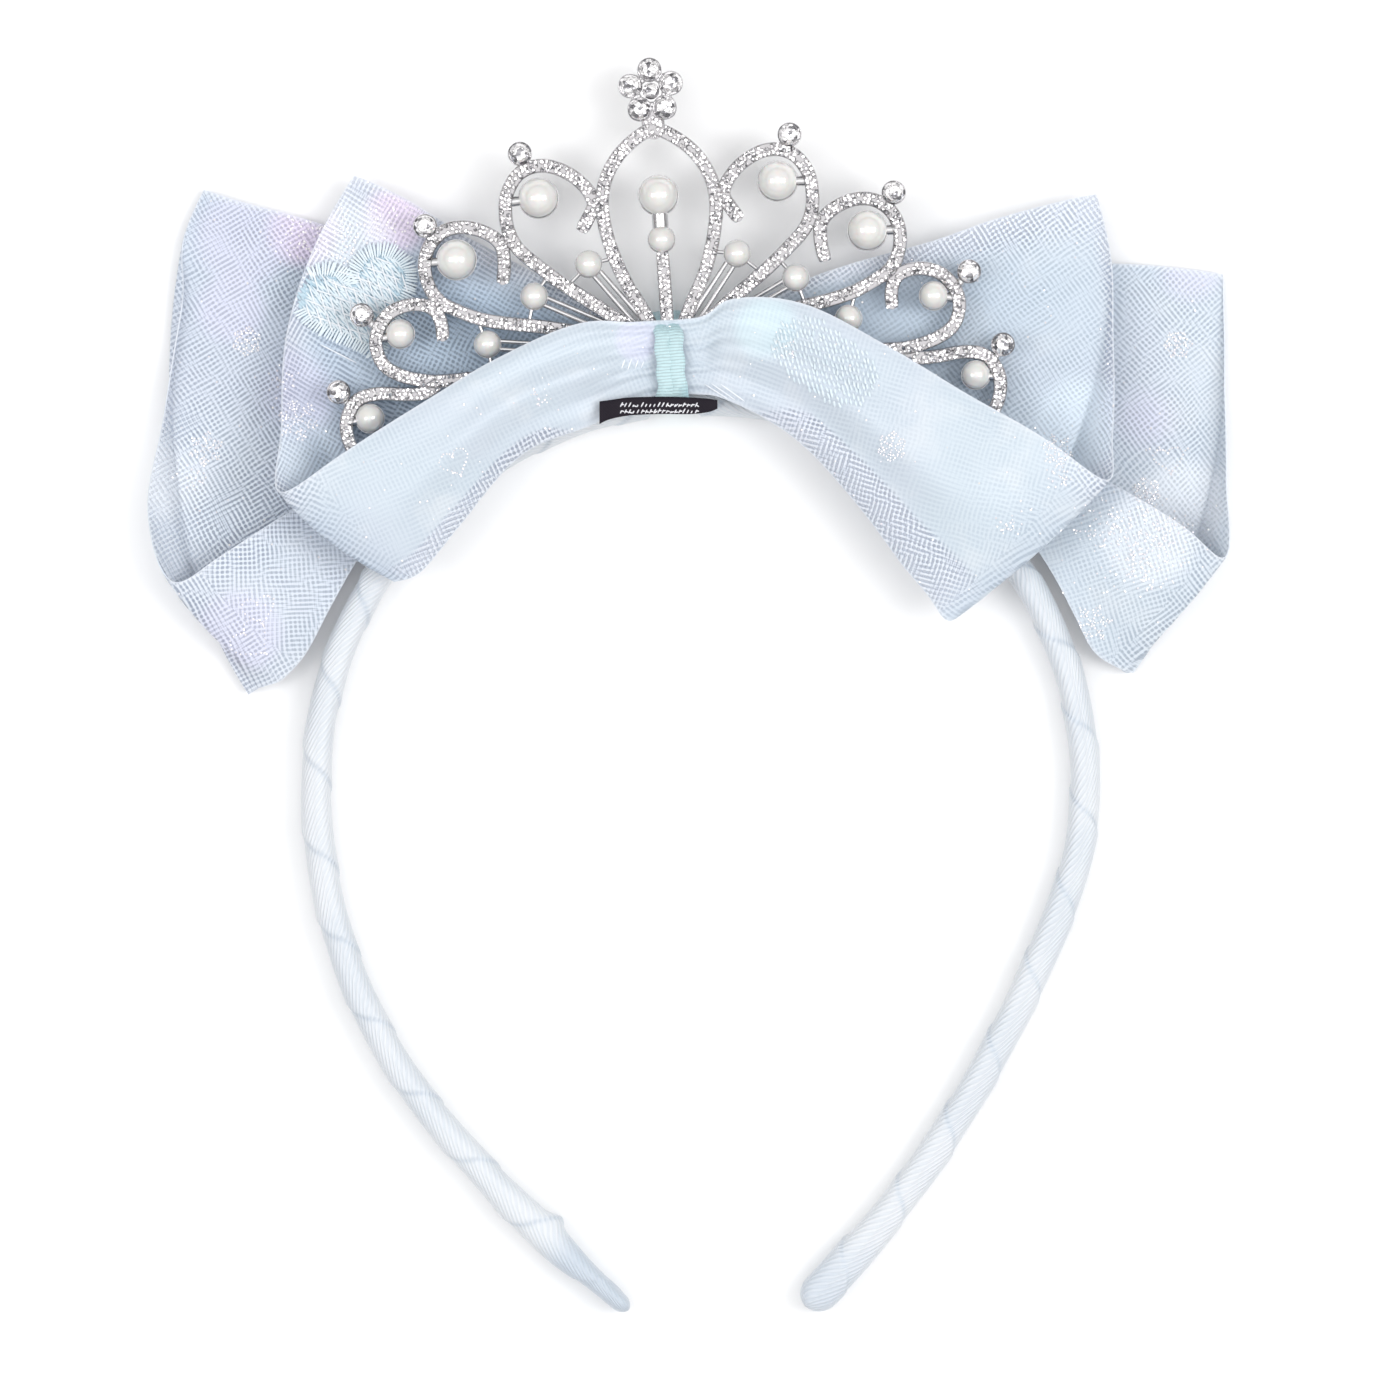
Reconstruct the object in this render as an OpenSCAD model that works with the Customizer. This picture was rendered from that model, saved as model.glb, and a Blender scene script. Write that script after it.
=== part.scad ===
// A child's headband, lying flat: a hoop wrapped in ribbon carries two net bows
// tied one on the other, a knot, a folded label and a fan crown with pearls.
// +X is to the right and +Y is up as the front is seen, +Z is towards the viewer,
// and the floor is at z = 0. The origin is the middle of the whole outline.

/* [Hoop] */
// Radius of the hoop's round top, to the middle of the band
hoop_r = 57.6; // [52:0.1:64]
// Thickness of the wrapped band, inner side to outer side
band_t = 4.8; // [4:0.1:5.6]
// Width of the wrapped band, which lies along Z
band_w = 7; // [6:0.1:9]
// Rounding of the band's long edges
band_edge = 1.3; // [0.6:0.1:1.8]
// Angle by which the bows and crown sit left of the hoop's middle
lean = 4.1; // [0:0.1:8]

/* [Bows] */
// Width of the net ribbon that both bows are tied from
ribbon_w = 75; // [68:0.5:80]
// Wall of one layer of net
net_wall = 1; // [1:0.1:1.2]
// Reach of the long bow's left loop, along the hoop from the knot
long_left = 78; // [74:0.5:84]
// Reach of the long bow's right loop
long_right = 84; // [80:0.5:90]
// Reach of the short bow's left loop
short_left = 54.5; // [51:0.5:57]
// Reach of the short bow's right loop
short_right = 63; // [60:0.5:66]
// How far the loops stand open, back to front
loop_depth = 10; // [9:0.1:12]
// Height of the gathered net inside the knot
waist_h = 8.4; // [7.5:0.1:9]
// How far the gathered front laps over the band
waist_lap = 1.6; // [0.8:0.1:2.4]

/* [Knot and label] */
// Width of the knot across its middle
knot_w = 6.2; // [5:0.1:8]
// Width of the knot's flared lower end
knot_foot_w = 9.6; // [8.5:0.1:11]
// Wall of the knot's ribbon
knot_wall = 0.8; // [0.6:0.1:1.2]
// Width of the folded label
label_w = 17; // [14:0.1:20]
// Height of the folded label
label_h = 2.4; // [2:0.1:3.4]
// Thickness of one layer of the label's fabric
label_wall = 0.6; // [0.5:0.05:0.8]
// How far the label's middle is left of the knot's
label_shift = 2.1; // [0:0.1:3]

/* [Crown] */
// Half width of the crown, from its stem to the outer ball
crown_half = 50; // [47:0.5:53]
// Height of the crown, from its base to the top stone
crown_rise = 41; // [38:0.5:44]
// Height of the crown's base above the band
crown_foot = 6.2; // [5.8:0.1:7]
// Thickness of the cast metal
crown_t = 1.6; // [1.4:0.1:2]
// Width of the stone-set scrolls
scroll_w = 2.1; // [1.6:0.05:2.4]
// Width of the plain wires
wire_w = 0.5; // [0.4:0.05:0.7]
// Gap between the two wires of a pair
wire_gap = 0.7; // [0.5:0.05:0.9]
// Diameter of the balls at the scrolls' tips
ball_d = 3.5; // [3.2:0.1:3.8]
// Diameter of the stones set in the balls
ball_stone_d = 2.6; // [2:0.1:2.8]
// Diameter of the flower's petal stones
petal_stone_d = 2.7; // [2.2:0.1:2.9]
// Diameter of the large pearls
large_pearl_d = 6; // [5.6:0.1:6.4]
// Diameter of the medium pearls
medium_pearl_d = 4.3; // [4:0.1:4.6]
// Diameter of the small pearls
small_pearl_d = 4; // [3.6:0.1:4.2]

/* [Clearances] */
// Gap between pieces that lie against each other
gap = 0.3; // [0.2:0.05:0.35]
// Gap between a pearl or stone and its seat
seat_gap = 0.1; // [0.05:0.01:0.15]
// Height of the crown's back above the band's front
crown_over_band = 1; // [0.5:0.1:1.5]
// Height of the gathered net's lower edge above its clearance from the band
net_over_band = 0.7; // [0.4:0.1:1.2]
// Slack of the short bow's front over the crown
front_slack = 0.2; // [0:0.1:0.6]
// Depth by which the knot draws in the band's inner side
waist_cut = 1; // [0.6:0.1:1.4]

/* [Hidden] */
$fn = 64;

// Hoop, worked out from its sizes
band_outer_r = hoop_r + band_t / 2;
band_inner_r = hoop_r - band_t / 2;

// Arms of the hoop below its round top, a row for each bend:
// [radius as a share of hoop_r, angle turned, thickness as a share of band_t]
LEFT_ARM = [
    [1.357, 40, 1.03],
    [3.8, 4, 1.06],
    [3.8, 3.1, 1.18],
    [3.8, 0.8, 1.03],
    [3.8, 2.1, 0.88]
];
RIGHT_ARM = [
    [0.846, 20.7, 1.03],
    [3.19, 12, 1.06],
    [2.664, 6.6, 1.1],
    [2.664, 1.5, 1.19],
    [2.664, 3.6, 1.28]
];
// Length by which each bend runs back into the one before it
bend_lap = 0.5;

// Heights of the layers where the knot gathers them, from the floor up
long_back_z = knot_wall + gap + net_wall / 2;
long_front_z = long_back_z + net_wall + gap;
crown_z = band_w + crown_over_band;
short_back_z = (long_front_z + crown_z) / 2;
short_front_z = crown_z + crown_t + gap + net_wall / 2 + front_slack;
knot_top_z = short_front_z + net_wall / 2 + gap + knot_wall;

// Lower end of the knot
knot_low = band_inner_r + waist_cut - gap - knot_wall;

// Height of the gathered net above the band's outer side: its lower and upper edges
waist_low = net_wall / 2 + gap + net_over_band;
waist_high = waist_low + waist_h;
// Half of the length over which the knot holds the net gathered
waist_half = knot_w / 2 + 3 * gap;

// The loops, a row for each section from the back of the knot round to its front:
// [0 for the back layer or 1 for the front one,
//  mouth edge: along, above, lift,  hidden edge: along, above, lift,
//  puff: along, lift,  pleat]
// along is a share of the loop's reach, above a share of ribbon_w from the band's
// outer side, and lift, puff and pleat are shares of loop_depth.
SHORT_LEFT = [
    [0, 0.19, 0.20, 0.01, 0.20, 0.025, 0.01, 0, 0, 0],
    [0, 0.35, 0.37, 0.00, 0.43, 0.02, 0.02, 0, -0.02, 0],
    [0, 0.44, 0.52, -0.04, 0.68, 0.02, 0.07, 0, -0.02, 0],
    [0, 0.49, 0.60, -0.08, 0.83, 0.02, 0.12, 0, -0.05, 0],
    [0, 0.61, 0.52, 0.02, 0.92, -0.02, 0.32, 0, -0.16, 0],
    [0, 0.74, 0.42, 0.16, 0.97, -0.05, 0.38, 0, -0.18, 0],
    [0, 0.87, 0.30, 0.48, 0.99, -0.06, 0.44, 0, -0.06, 0],
    [0, 0.98, 0.22, 0.96, 1.00, -0.07, 0.52, 0.02, 0.06, 0],
    [1, 0.83, 0.17, 0.64, 0.92, -0.10, 0.04, 0, 0.30, 0.02],
    [1, 0.62, 0.14, 0.58, 0.71, -0.09, 0.02, 0, 0.36, 0.05],
    [1, 0.41, 0.14, 0.42, 0.46, -0.05, 0.00, 0, 0.36, 0.08],
    [1, 0.20, 0.15, 0.20, 0.25, -0.05, 0.00, 0, 0.22, 0.09]
];
SHORT_RIGHT = [
    [0, 0.20, 0.19, 0.01, 0.17, 0.03, 0.01, 0, 0, 0],
    [0, 0.42, 0.35, 0.00, 0.42, 0.03, 0.03, 0, -0.02, 0],
    [0, 0.53, 0.48, -0.04, 0.67, 0.03, 0.07, 0, -0.02, 0],
    [0, 0.63, 0.62, -0.08, 0.87, 0.02, 0.14, 0, -0.05, 0],
    [0, 0.70, 0.53, 0.02, 0.96, -0.03, 0.32, 0, -0.16, 0],
    [0, 0.78, 0.41, 0.16, 1.00, -0.10, 0.40, 0, -0.18, 0],
    [0, 0.89, 0.28, 0.48, 1.01, -0.17, 0.46, 0, -0.06, 0],
    [0, 0.95, 0.21, 0.96, 1.00, -0.21, 0.56, 0.01, 0.06, 0],
    [1, 0.81, 0.17, 0.64, 0.91, -0.21, 0.06, 0, 0.28, 0.02],
    [1, 0.63, 0.14, 0.58, 0.74, -0.20, 0.04, 0, 0.36, 0.05],
    [1, 0.44, 0.15, 0.46, 0.52, -0.15, 0.02, 0, 0.38, 0.08],
    [1, 0.26, 0.18, 0.28, 0.31, -0.08, 0.00, 0, 0.28, 0.10],
    [1, 0.13, 0.17, 0.10, 0.13, -0.03, 0.00, 0, 0.12, 0.06]
];
LONG_LEFT = [
    [0, 0.16, 0.23, -0.01, 0.21, 0.025, -0.01, 0, 0, 0],
    [0, 0.34, 0.44, -0.03, 0.45, 0.025, -0.01, 0, 0, 0],
    [0, 0.44, 0.64, -0.03, 0.71, 0.03, -0.01, 0, 0, 0],
    [0, 0.48, 0.75, -0.02, 0.89, 0.05, -0.01, 0, 0, 0],
    [0, 0.53, 0.70, 0.06, 0.97, 0.09, -0.01, 0, 0, 0],
    [0, 0.58, 0.61, 0.22, 1.00, 0.12, 0.00, 0, 0, 0],
    [0, 0.69, 0.50, 0.44, 0.99, 0.11, 0.06, 0.01, -0.04, 0],
    [0, 0.80, 0.43, 0.69, 0.98, 0.09, 0.14, 0.01, 0, 0],
    [0, 0.87, 0.33, 0.89, 0.96, 0.06, 0.20, 0.01, 0.06, 0],
    [1, 0.81, 0.26, 0.76, 0.90, 0.03, 0.11, 0, 0.12, 0],
    [1, 0.71, 0.19, 0.42, 0.80, 0.02, 0.11, 0, 0.06, 0],
    [1, 0.60, 0.13, 0.20, 0.69, 0.02, 0.09, 0, 0.02, 0],
    [1, 0.35, 0.11, 0.03, 0.43, 0.02, 0.02, 0, 0, 0],
    [1, 0.17, 0.12, 0.01, 0.20, 0.02, 0.01, 0, 0, 0]
];
LONG_RIGHT = [
    [0, 0.20, 0.19, -0.01, 0.17, 0.03, -0.01, 0, 0, 0],
    [0, 0.38, 0.32, -0.03, 0.39, 0.03, -0.01, 0, 0, 0],
    [0, 0.53, 0.53, -0.03, 0.66, 0.03, -0.01, 0, 0, 0],
    [0, 0.62, 0.66, -0.02, 0.90, 0.03, -0.01, 0, 0, 0],
    [0, 0.66, 0.59, 0.10, 0.98, 0.07, -0.01, 0, 0, 0],
    [0, 0.72, 0.50, 0.28, 0.99, 0.09, 0.01, 0, 0, 0],
    [0, 0.80, 0.41, 0.52, 0.99, 0.09, 0.06, 0, -0.02, 0],
    [0, 0.88, 0.34, 0.87, 0.98, 0.07, 0.14, 0, 0.04, 0],
    [1, 0.82, 0.29, 0.70, 0.94, 0.03, 0.09, 0, 0.08, 0],
    [1, 0.71, 0.21, 0.36, 0.87, 0.02, 0.08, 0, 0.03, 0],
    [1, 0.58, 0.14, 0.06, 0.75, 0.02, 0.05, 0, 0, 0],
    [1, 0.43, 0.11, 0.02, 0.51, 0.02, 0.02, 0, 0, 0],
    [1, 0.21, 0.11, 0.01, 0.21, 0.02, 0.01, 0, 0, 0]
];

// Rings between two rows of a loop, and strips from its mouth edge to its hidden edge
rings_a_row = 2;
strips = 10;
pleats = 2;

// The crown's right half, from its base: every point is
// [share of crown_half across, share of crown_rise up]
DROP_SIDE = [
    [0.032, 0.020], [0.052, 0.078], [0.078, 0.146], [0.112, 0.224],
    [0.140, 0.312], [0.160, 0.402], [0.170, 0.490], [0.166, 0.561],
    [0.148, 0.629], [0.110, 0.698], [0.056, 0.754], [0, 0.790]
];
SCROLL_1 = [
    [0.240, 0.427], [0.214, 0.478], [0.195, 0.525], [0.210, 0.578],
    [0.252, 0.634], [0.312, 0.673], [0.368, 0.678], [0.418, 0.649],
    [0.452, 0.583], [0.460, 0.510], [0.452, 0.440], [0.426, 0.378],
    [0.370, 0.312], [0.310, 0.249], [0.240, 0.185], [0.120, 0.078],
    [0.044, 0.015]
];
SCROLL_2 = [
    [0.484, 0.256], [0.474, 0.332], [0.482, 0.405], [0.524, 0.451],
    [0.584, 0.476], [0.644, 0.468], [0.692, 0.420], [0.712, 0.349],
    [0.704, 0.273], [0.676, 0.215], [0.630, 0.178], [0.560, 0.139],
    [0.480, 0.115], [0.404, 0.100], [0.334, 0.083], [0.190, 0.039],
    [0.050, -0.015]
];
SCROLL_3 = [
    [0.674, 0.066], [0.674, 0.130], [0.692, 0.182], [0.732, 0.205],
    [0.784, 0.204], [0.832, 0.178], [0.866, 0.122], [0.874, 0.059],
    [0.854, -0.005], [0.806, -0.046], [0.732, -0.072], [0.664, -0.078],
    [0.520, -0.070], [0.280, -0.060], [0.060, -0.050]
];
SCROLL_4 = [
    [0.690, -0.080], [0.740, -0.116], [0.804, -0.116], [0.878, -0.107],
    [0.940, -0.124], [0.976, -0.190], [0.976, -0.268], [0.945, -0.335],
    [0.870, -0.358], [0.760, -0.330], [0.560, -0.254], [0.320, -0.166],
    [0.080, -0.083]
];
SCROLLS = [SCROLL_1, SCROLL_2, SCROLL_3, SCROLL_4];

// Balls at the scrolls' tips: [across, up, foot on the scroll: across, up]
BALLS = [
    [0.404, 0.728, 0.395, 0.665],
    [0.702, 0.490, 0.680, 0.435],
    [0.910, 0.183, 0.868, 0.130],
    [0.995, -0.091, 0.962, -0.150]
];

// Pearls inside the scrolls: [across, up, foot on the scroll: across, up, diameter]
PEARLS = [
    [0.358, 0.562, 0.452, 0.555, large_pearl_d],
    [0.616, 0.359, 0.705, 0.355, large_pearl_d],
    [0.799, 0.104, 0.870, 0.090, medium_pearl_d],
    [0.908, -0.195, 0.974, -0.205, medium_pearl_d]
];

// Pearls on the pairs of wires: [across, up, foot of the wires: across, up]
WIRE_PEARLS = [
    [0.222, 0.309, 0.050, 0.030],
    [0.392, 0.206, 0.080, 0.010],
    [0.541, 0.044, 0.100, -0.030]
];

// Single prongs that tie those pearls to the scrolls: [pearl, across, up]
PRONGS = [
    [0, 0.150, 0.324], [0, 0.290, 0.236],
    [1, 0.345, 0.278], [1, 0.414, 0.108],
    [2, 0.566, 0.136], [2, 0.530, -0.066]
];

// Pearls on the stem: [up, diameter]
STEM_PEARLS = [[0.541, large_pearl_d], [0.380, small_pearl_d]];

// Flower of stones at the top
flower_up = crown_rise * 0.922;
flower_ring_r = crown_rise - flower_up;
petal_d = petal_stone_d + 0.7;
flower_stone_d = 2 * (flower_ring_r - petal_stone_d / 2) - 2 * seat_gap - 0.4;
drop_top = 0.79 * crown_rise;
stem_foot = -0.08 * crown_rise;
stem_w = 2 * scroll_w / 2.1;
// Round plate behind the knot that the scrolls run into
hub_r = 3.2;
// Width of the short feet that hold balls and pearls on the scrolls
foot_w = 1.2;
ball_rise = 0.6;

// Where the outline's middle is, seen from the hoop's own centre
outline_left = -max([for (r = ring_rows(LONG_LEFT, -1, long_left)) -over_hoop([r[0], r[1], r[2]])[0]]);
outline_right = max([for (r = ring_rows(LONG_RIGHT, 1, long_right)) over_hoop([r[0], r[1], r[2]])[0]]);
outline_top = turn([0, band_outer_r + crown_foot + crown_rise], lean)[1] + petal_d / 2;
outline_bottom = arm_end(LEFT_ARM)[1] - LEFT_ARM[len(LEFT_ARM) - 1][2] * band_t / 2;
middle_x = (outline_left + outline_right) / 2;
middle_y = (outline_top + outline_bottom) / 2;

// Curves and places

// A point turned about the hoop's centre
function turn(p, angle) = [p[0] * cos(angle) - p[1] * sin(angle), p[0] * sin(angle) + p[1] * cos(angle)];

// A place given as [along the hoop from the knot, above the band, height], as [x, y, z]
function over_hoop(p) =
    let (angle = p[0] / band_outer_r * 180 / PI - lean)
    [(band_outer_r + p[1]) * sin(angle), (band_outer_r + p[1]) * cos(angle), p[2]];

// A smooth curve through the points a, b, c and d, from b at t = 0 to c at t = 1
function smooth(a, b, c, d, t) =
    ((2 * b) + (c - a) * t + (2 * a - 5 * b + 4 * c - d) * t * t
     + (3 * b - a - 3 * c + d) * t * t * t) / 2;

// The curve through a closed list of rows, with n steps between two rows
function smooth_ring(rows, n) =
    let (m = len(rows))
    [for (i = [0:m - 1]) for (k = [0:n - 1])
        smooth(rows[(i + m - 1) % m], rows[i], rows[(i + 1) % m], rows[(i + 2) % m], k / n)];

// The curve through an open list of points, with n steps between two points
function smooth_line(pts, n) =
    let (m = len(pts))
    concat([for (i = [0:m - 2]) for (k = [0:n - 1])
        smooth(pts[max(i - 1, 0)], pts[i], pts[i + 1], pts[min(i + 2, m - 1)], k / n)],
        [pts[m - 1]]);

// A loop's outline as lengths, and its rows as lengths: mouth edge, hidden edge, puff, pleat
function ring_rows(rows, side, reach) =
    [for (r = rows)
        [side * r[1] * reach, r[2] * ribbon_w, 0, side * r[4] * reach, r[5] * ribbon_w, 0]];

function loop_rows(rows, side, reach, back_z, front_z) =
    [for (r = rows)
        let (base = r[0] == 0 ? back_z : front_z)
        [side * r[1] * reach, r[2] * ribbon_w, base + r[3] * loop_depth,
         side * r[4] * reach, r[5] * ribbon_w, base + r[6] * loop_depth,
         side * r[7] * reach, r[8] * loop_depth, r[9] * loop_depth]];

function waist_row(along, low, high, z) = [along, high, z, along, low, z, 0, 0, 0];

function reversed(list) = [for (i = [len(list) - 1:-1:0]) list[i]];

// A whole bow: back of the knot, left loop, front of the knot, right loop.
// low is the gathered front's lower edge
function bow_rows(left, right, back_z, front_z, low) =
    concat([for (side = [1, -1]) waist_row(side * waist_half, waist_low, waist_high, back_z)], left,
           [for (side = [-1, 1]) waist_row(side * waist_half, low, waist_high, front_z)],
           reversed(right));

// The point at v across a section, 0 at its mouth edge and 1 at its hidden edge
function across(r, v) =
    let (
        bulge = 4 * v * (1 - v),
        fold = r[8] * cos(360 * pleats * v) * bulge,
        low = [r[0], r[1], r[2]],
        high = [r[3], r[4], r[5]]
    )
    low + (high - low) * v + [r[6] * bulge, 0, r[7] * bulge + fold];

function unit(v) = v / norm(v);

module net_ring(rows) {
    rings = smooth_ring(rows, rings_a_row);
    n = len(rings);
    m = strips + 1;
    mid = [for (r = rings) [for (j = [0:strips]) over_hoop(across(r, j / strips))]];
    normals = [for (i = [0:n - 1]) [for (j = [0:strips])
        unit(cross(mid[(i + 1) % n][j] - mid[(i + n - 1) % n][j],
                   mid[i][min(j + 1, strips)] - mid[i][max(j - 1, 0)]))]];
    outer = [for (i = [0:n - 1]) for (j = [0:strips]) mid[i][j] + normals[i][j] * net_wall / 2];
    inner = [for (i = [0:n - 1]) for (j = [0:strips]) mid[i][j] - normals[i][j] * net_wall / 2];
    k = n * m;
    faces = concat(
        [for (i = [0:n - 1]) for (j = [0:strips - 1])
            let (a = i * m + j, b = ((i + 1) % n) * m + j)
            each [[a, b, a + 1], [a + 1, b, b + 1]]],
        [for (i = [0:n - 1]) for (j = [0:strips - 1])
            let (a = k + i * m + j, b = k + ((i + 1) % n) * m + j)
            each [[a, a + 1, b], [a + 1, b + 1, b]]],
        [for (i = [0:n - 1])
            let (a = i * m, b = ((i + 1) % n) * m)
            each [[a, k + a, b], [b, k + a, k + b]]],
        [for (i = [0:n - 1])
            let (a = i * m + strips, b = ((i + 1) % n) * m + strips)
            each [[a, b, k + a], [b, k + b, k + a]]]
    );
    polyhedron(points = concat(outer, inner), faces = faces, convexity = 8);
}

// Puts what is drawn round the hoop's centre into the part's frame
module placed() {
    translate([-middle_x, -middle_y, 0]) children();
}

// Puts what is drawn upright over the hoop's centre where the knot is
module leaning() {
    placed() rotate([0, 0, lean]) children();
}

// Section of the band, upright round its middle
module band_section(thickness) {
    x = thickness / 2;
    y = band_w / 2;
    e = min(band_edge, x - 0.2);
    corner = [for (a = [0:22.5:90]) [x - e + e * cos(a), y - e + e * sin(a)]];
    upper = concat(corner, [for (p = reversed(corner)) [-p[0], p[1]]]);
    polygon(concat(upper, [for (p = reversed(upper)) [p[0], -p[1]]]));
}

// Angle turned before each bend of an arm, and the middle of that bend
function turned(arm, i) = i == 0 ? 0 : turned(arm, i - 1) + arm[i - 1][1];
function bend_centre(arm, i) =
    i == 0 ? [hoop_r - arm[0][0] * hoop_r, 0]
           : bend_centre(arm, i - 1)
             + (arm[i - 1][0] - arm[i][0]) * hoop_r * [cos(turned(arm, i)), -sin(turned(arm, i))];
function arm_end(arm) =
    let (i = len(arm) - 1, angle = turned(arm, len(arm)))
    bend_centre(arm, i) + arm[i][0] * hoop_r * [cos(angle), -sin(angle)];

module arm(rows) {
    for (i = [0:len(rows) - 1])
        translate(concat(bend_centre(rows, i), band_w / 2))
            rotate([0, 0, -turned(rows, i + 1)])
                rotate_extrude(angle = rows[i][1] + bend_lap / (rows[i][0] * hoop_r) * 180 / PI)
                    translate([rows[i][0] * hoop_r, 0]) band_section(rows[i][2] * band_t);
    tip = 0.98 * rows[len(rows) - 1][2] * band_t;
    translate(concat(arm_end(rows), band_w / 2))
        rotate_extrude()
            intersection() {
                band_section(tip);
                translate([0, -band_w / 2]) square([tip, band_w]);
            }
}

module band() {
    color("aliceblue") placed() difference() {
        union() {
            translate([0, 0, band_w / 2])
                rotate_extrude(angle = 180)
                    translate([hoop_r, 0]) band_section(band_t);
            arm(RIGHT_ARM);
            mirror([1, 0, 0]) arm(LEFT_ARM);
        }
        // Waist that the knot draws in, at the band's back and at its inner side
        rotate([0, 0, lean]) translate([-knot_foot_w / 2 - gap, band_inner_r - band_t, -band_w]) {
            cube([knot_foot_w + 2 * gap, 3 * band_t, band_w + knot_wall + gap]);
            cube([knot_foot_w + 2 * gap, band_t + waist_cut, 3 * band_w]);
        }
    }
}

module long_bow() {
    color("lightsteelblue") placed() net_ring(bow_rows(
        loop_rows(LONG_LEFT, -1, long_left, long_back_z, long_front_z),
        loop_rows(LONG_RIGHT, 1, long_right, long_back_z, long_front_z),
        long_back_z, long_front_z, waist_low));
}

module short_bow() {
    color("lightblue") placed() net_ring(bow_rows(
        loop_rows(SHORT_LEFT, -1, short_left, short_back_z, short_front_z),
        loop_rows(SHORT_RIGHT, 1, short_right, short_back_z, short_front_z),
        short_back_z, short_front_z, -waist_lap));
}

// The knot is a ribbon round the waist and the band, open where the crown stands in it
module knot() {
    low = knot_low;
    high = band_outer_r + waist_high + gap + knot_wall;
    slot_z = crown_z - gap;
    slot_h = crown_t + 2 * gap;
    color("paleturquoise") leaning() difference() {
        intersection() {
            translate([-knot_foot_w, low, 0]) cube([2 * knot_foot_w, high - low, knot_top_z]);
            linear_extrude(height = knot_top_z) polygon([
                [-knot_foot_w / 2, low], [knot_foot_w / 2, low],
                [knot_w / 2, low + knot_foot_w / 2], [knot_w / 2, high],
                [-knot_w / 2, high], [-knot_w / 2, low + knot_foot_w / 2]]);
        }
        translate([-knot_foot_w, low + knot_wall, knot_wall])
            cube([2 * knot_foot_w, high - low - 2 * knot_wall, knot_top_z - 2 * knot_wall]);
        translate([-knot_foot_w, high - 2 * knot_wall, slot_z])
            cube([2 * knot_foot_w, 3 * knot_wall, slot_h]);
    }
}

// The label is a folded strip across the knot's foot, its fold towards the hoop's middle
module label() {
    z = [0, label_wall, label_wall + gap, 2 * label_wall + gap];
    color("midnightblue") leaning()
        translate([-label_shift - label_w / 2, knot_low, knot_top_z + gap]) rotate([90, 0, 90])
            linear_extrude(height = label_w) polygon([
                [0, z[0]], [label_h, z[0]], [label_h, z[1]], [label_wall, z[1]],
                [label_wall, z[2]], [label_h, z[2]], [label_h, z[3]], [0, z[3]]]);
}

// A place on the crown, in its own plane
function crown_at(p) = [p[0] * crown_half, p[1] * crown_rise];

// A band of one width along a line of points
module stroke(pts, width, n) {
    line = smooth_line([for (p = pts) crown_at(p)], n);
    last = len(line) - 1;
    side = [for (i = [0:last])
        let (d = line[min(i + 1, last)] - line[max(i - 1, 0)])
        [-d[1], d[0]] / norm(d) * width / 2];
    polygon(concat([for (i = [0:last]) line[i] + side[i]],
                   [for (i = [last:-1:0]) line[i] - side[i]]));
}

module bar(a, b, width) {
    d = b - a;
    translate(a) rotate(atan2(d[1], d[0]))
        translate([0, -width / 2]) square([norm(d), width]);
}

module both_sides() {
    children();
    mirror([1, 0, 0]) children();
}

function cup_r(diameter) = diameter / 2 + 0.3;

// Cast metal of one thickness, over a flat outline
module cast() {
    linear_extrude(height = crown_t) children();
}

module crown_half_metal() {
    cast() stroke(DROP_SIDE, scroll_w, 2);
    for (pts = SCROLLS) cast() stroke(pts, scroll_w, 2);
    for (p = BALLS) translate(crown_at(p)) cylinder(h = crown_t + ball_rise, d = ball_d);
    for (p = PEARLS) translate(crown_at(p)) cylinder(h = crown_t, r = cup_r(p[4]));
    for (p = concat(BALLS, PEARLS)) cast() bar(crown_at(p), crown_at([p[2], p[3]]), foot_w);
    for (p = WIRE_PEARLS) translate(crown_at(p)) cylinder(h = crown_t, r = cup_r(small_pearl_d));
    for (p = WIRE_PEARLS) for (side = [-1, 1]) {
        a = crown_at(p);
        b = crown_at([p[2], p[3]]);
        off = [-(b - a)[1], (b - a)[0]] / norm(b - a) * (wire_w + wire_gap) / 2;
        cast() bar(a + side * off, b + side * off, wire_w);
    }
    for (p = PRONGS) cast() bar(crown_at(WIRE_PEARLS[p[0]]), crown_at([p[1], p[2]]), wire_w);
}

module crown_middle_metal() {
    for (p = STEM_PEARLS) translate([0, p[0] * crown_rise]) cylinder(h = crown_t, r = cup_r(p[1]));
    cast() bar([0, stem_foot], [0, STEM_PEARLS[0][0] * crown_rise], stem_w);
    cast() bar([0, drop_top], [0, flower_up], stem_w);
    translate([0, drop_top]) cylinder(h = crown_t, d = 1.1 * scroll_w);
    cylinder(h = crown_t, r = hub_r);
    translate([0, flower_up]) {
        cylinder(h = crown_t, r = flower_ring_r);
        for (k = [0:4]) rotate(90 + 72 * k) translate([flower_ring_r, 0]) cylinder(h = crown_t, d = petal_d);
    }
}

module on_crown(p, lift) {
    translate([p[0], band_outer_r + crown_foot + p[1], crown_z + lift]) children();
}

// Height of a pearl's middle above the crown's back
function pearl_lift(diameter) = crown_t / 2 + diameter / 2;

module pearl_seat(p, diameter) {
    on_crown(p, pearl_lift(diameter)) sphere(d = diameter + 2 * seat_gap);
}

module stone_seat(p, diameter, lift) {
    on_crown(p, lift - 0.5 * diameter) cylinder(h = diameter, d = diameter + 2 * seat_gap);
}

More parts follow.
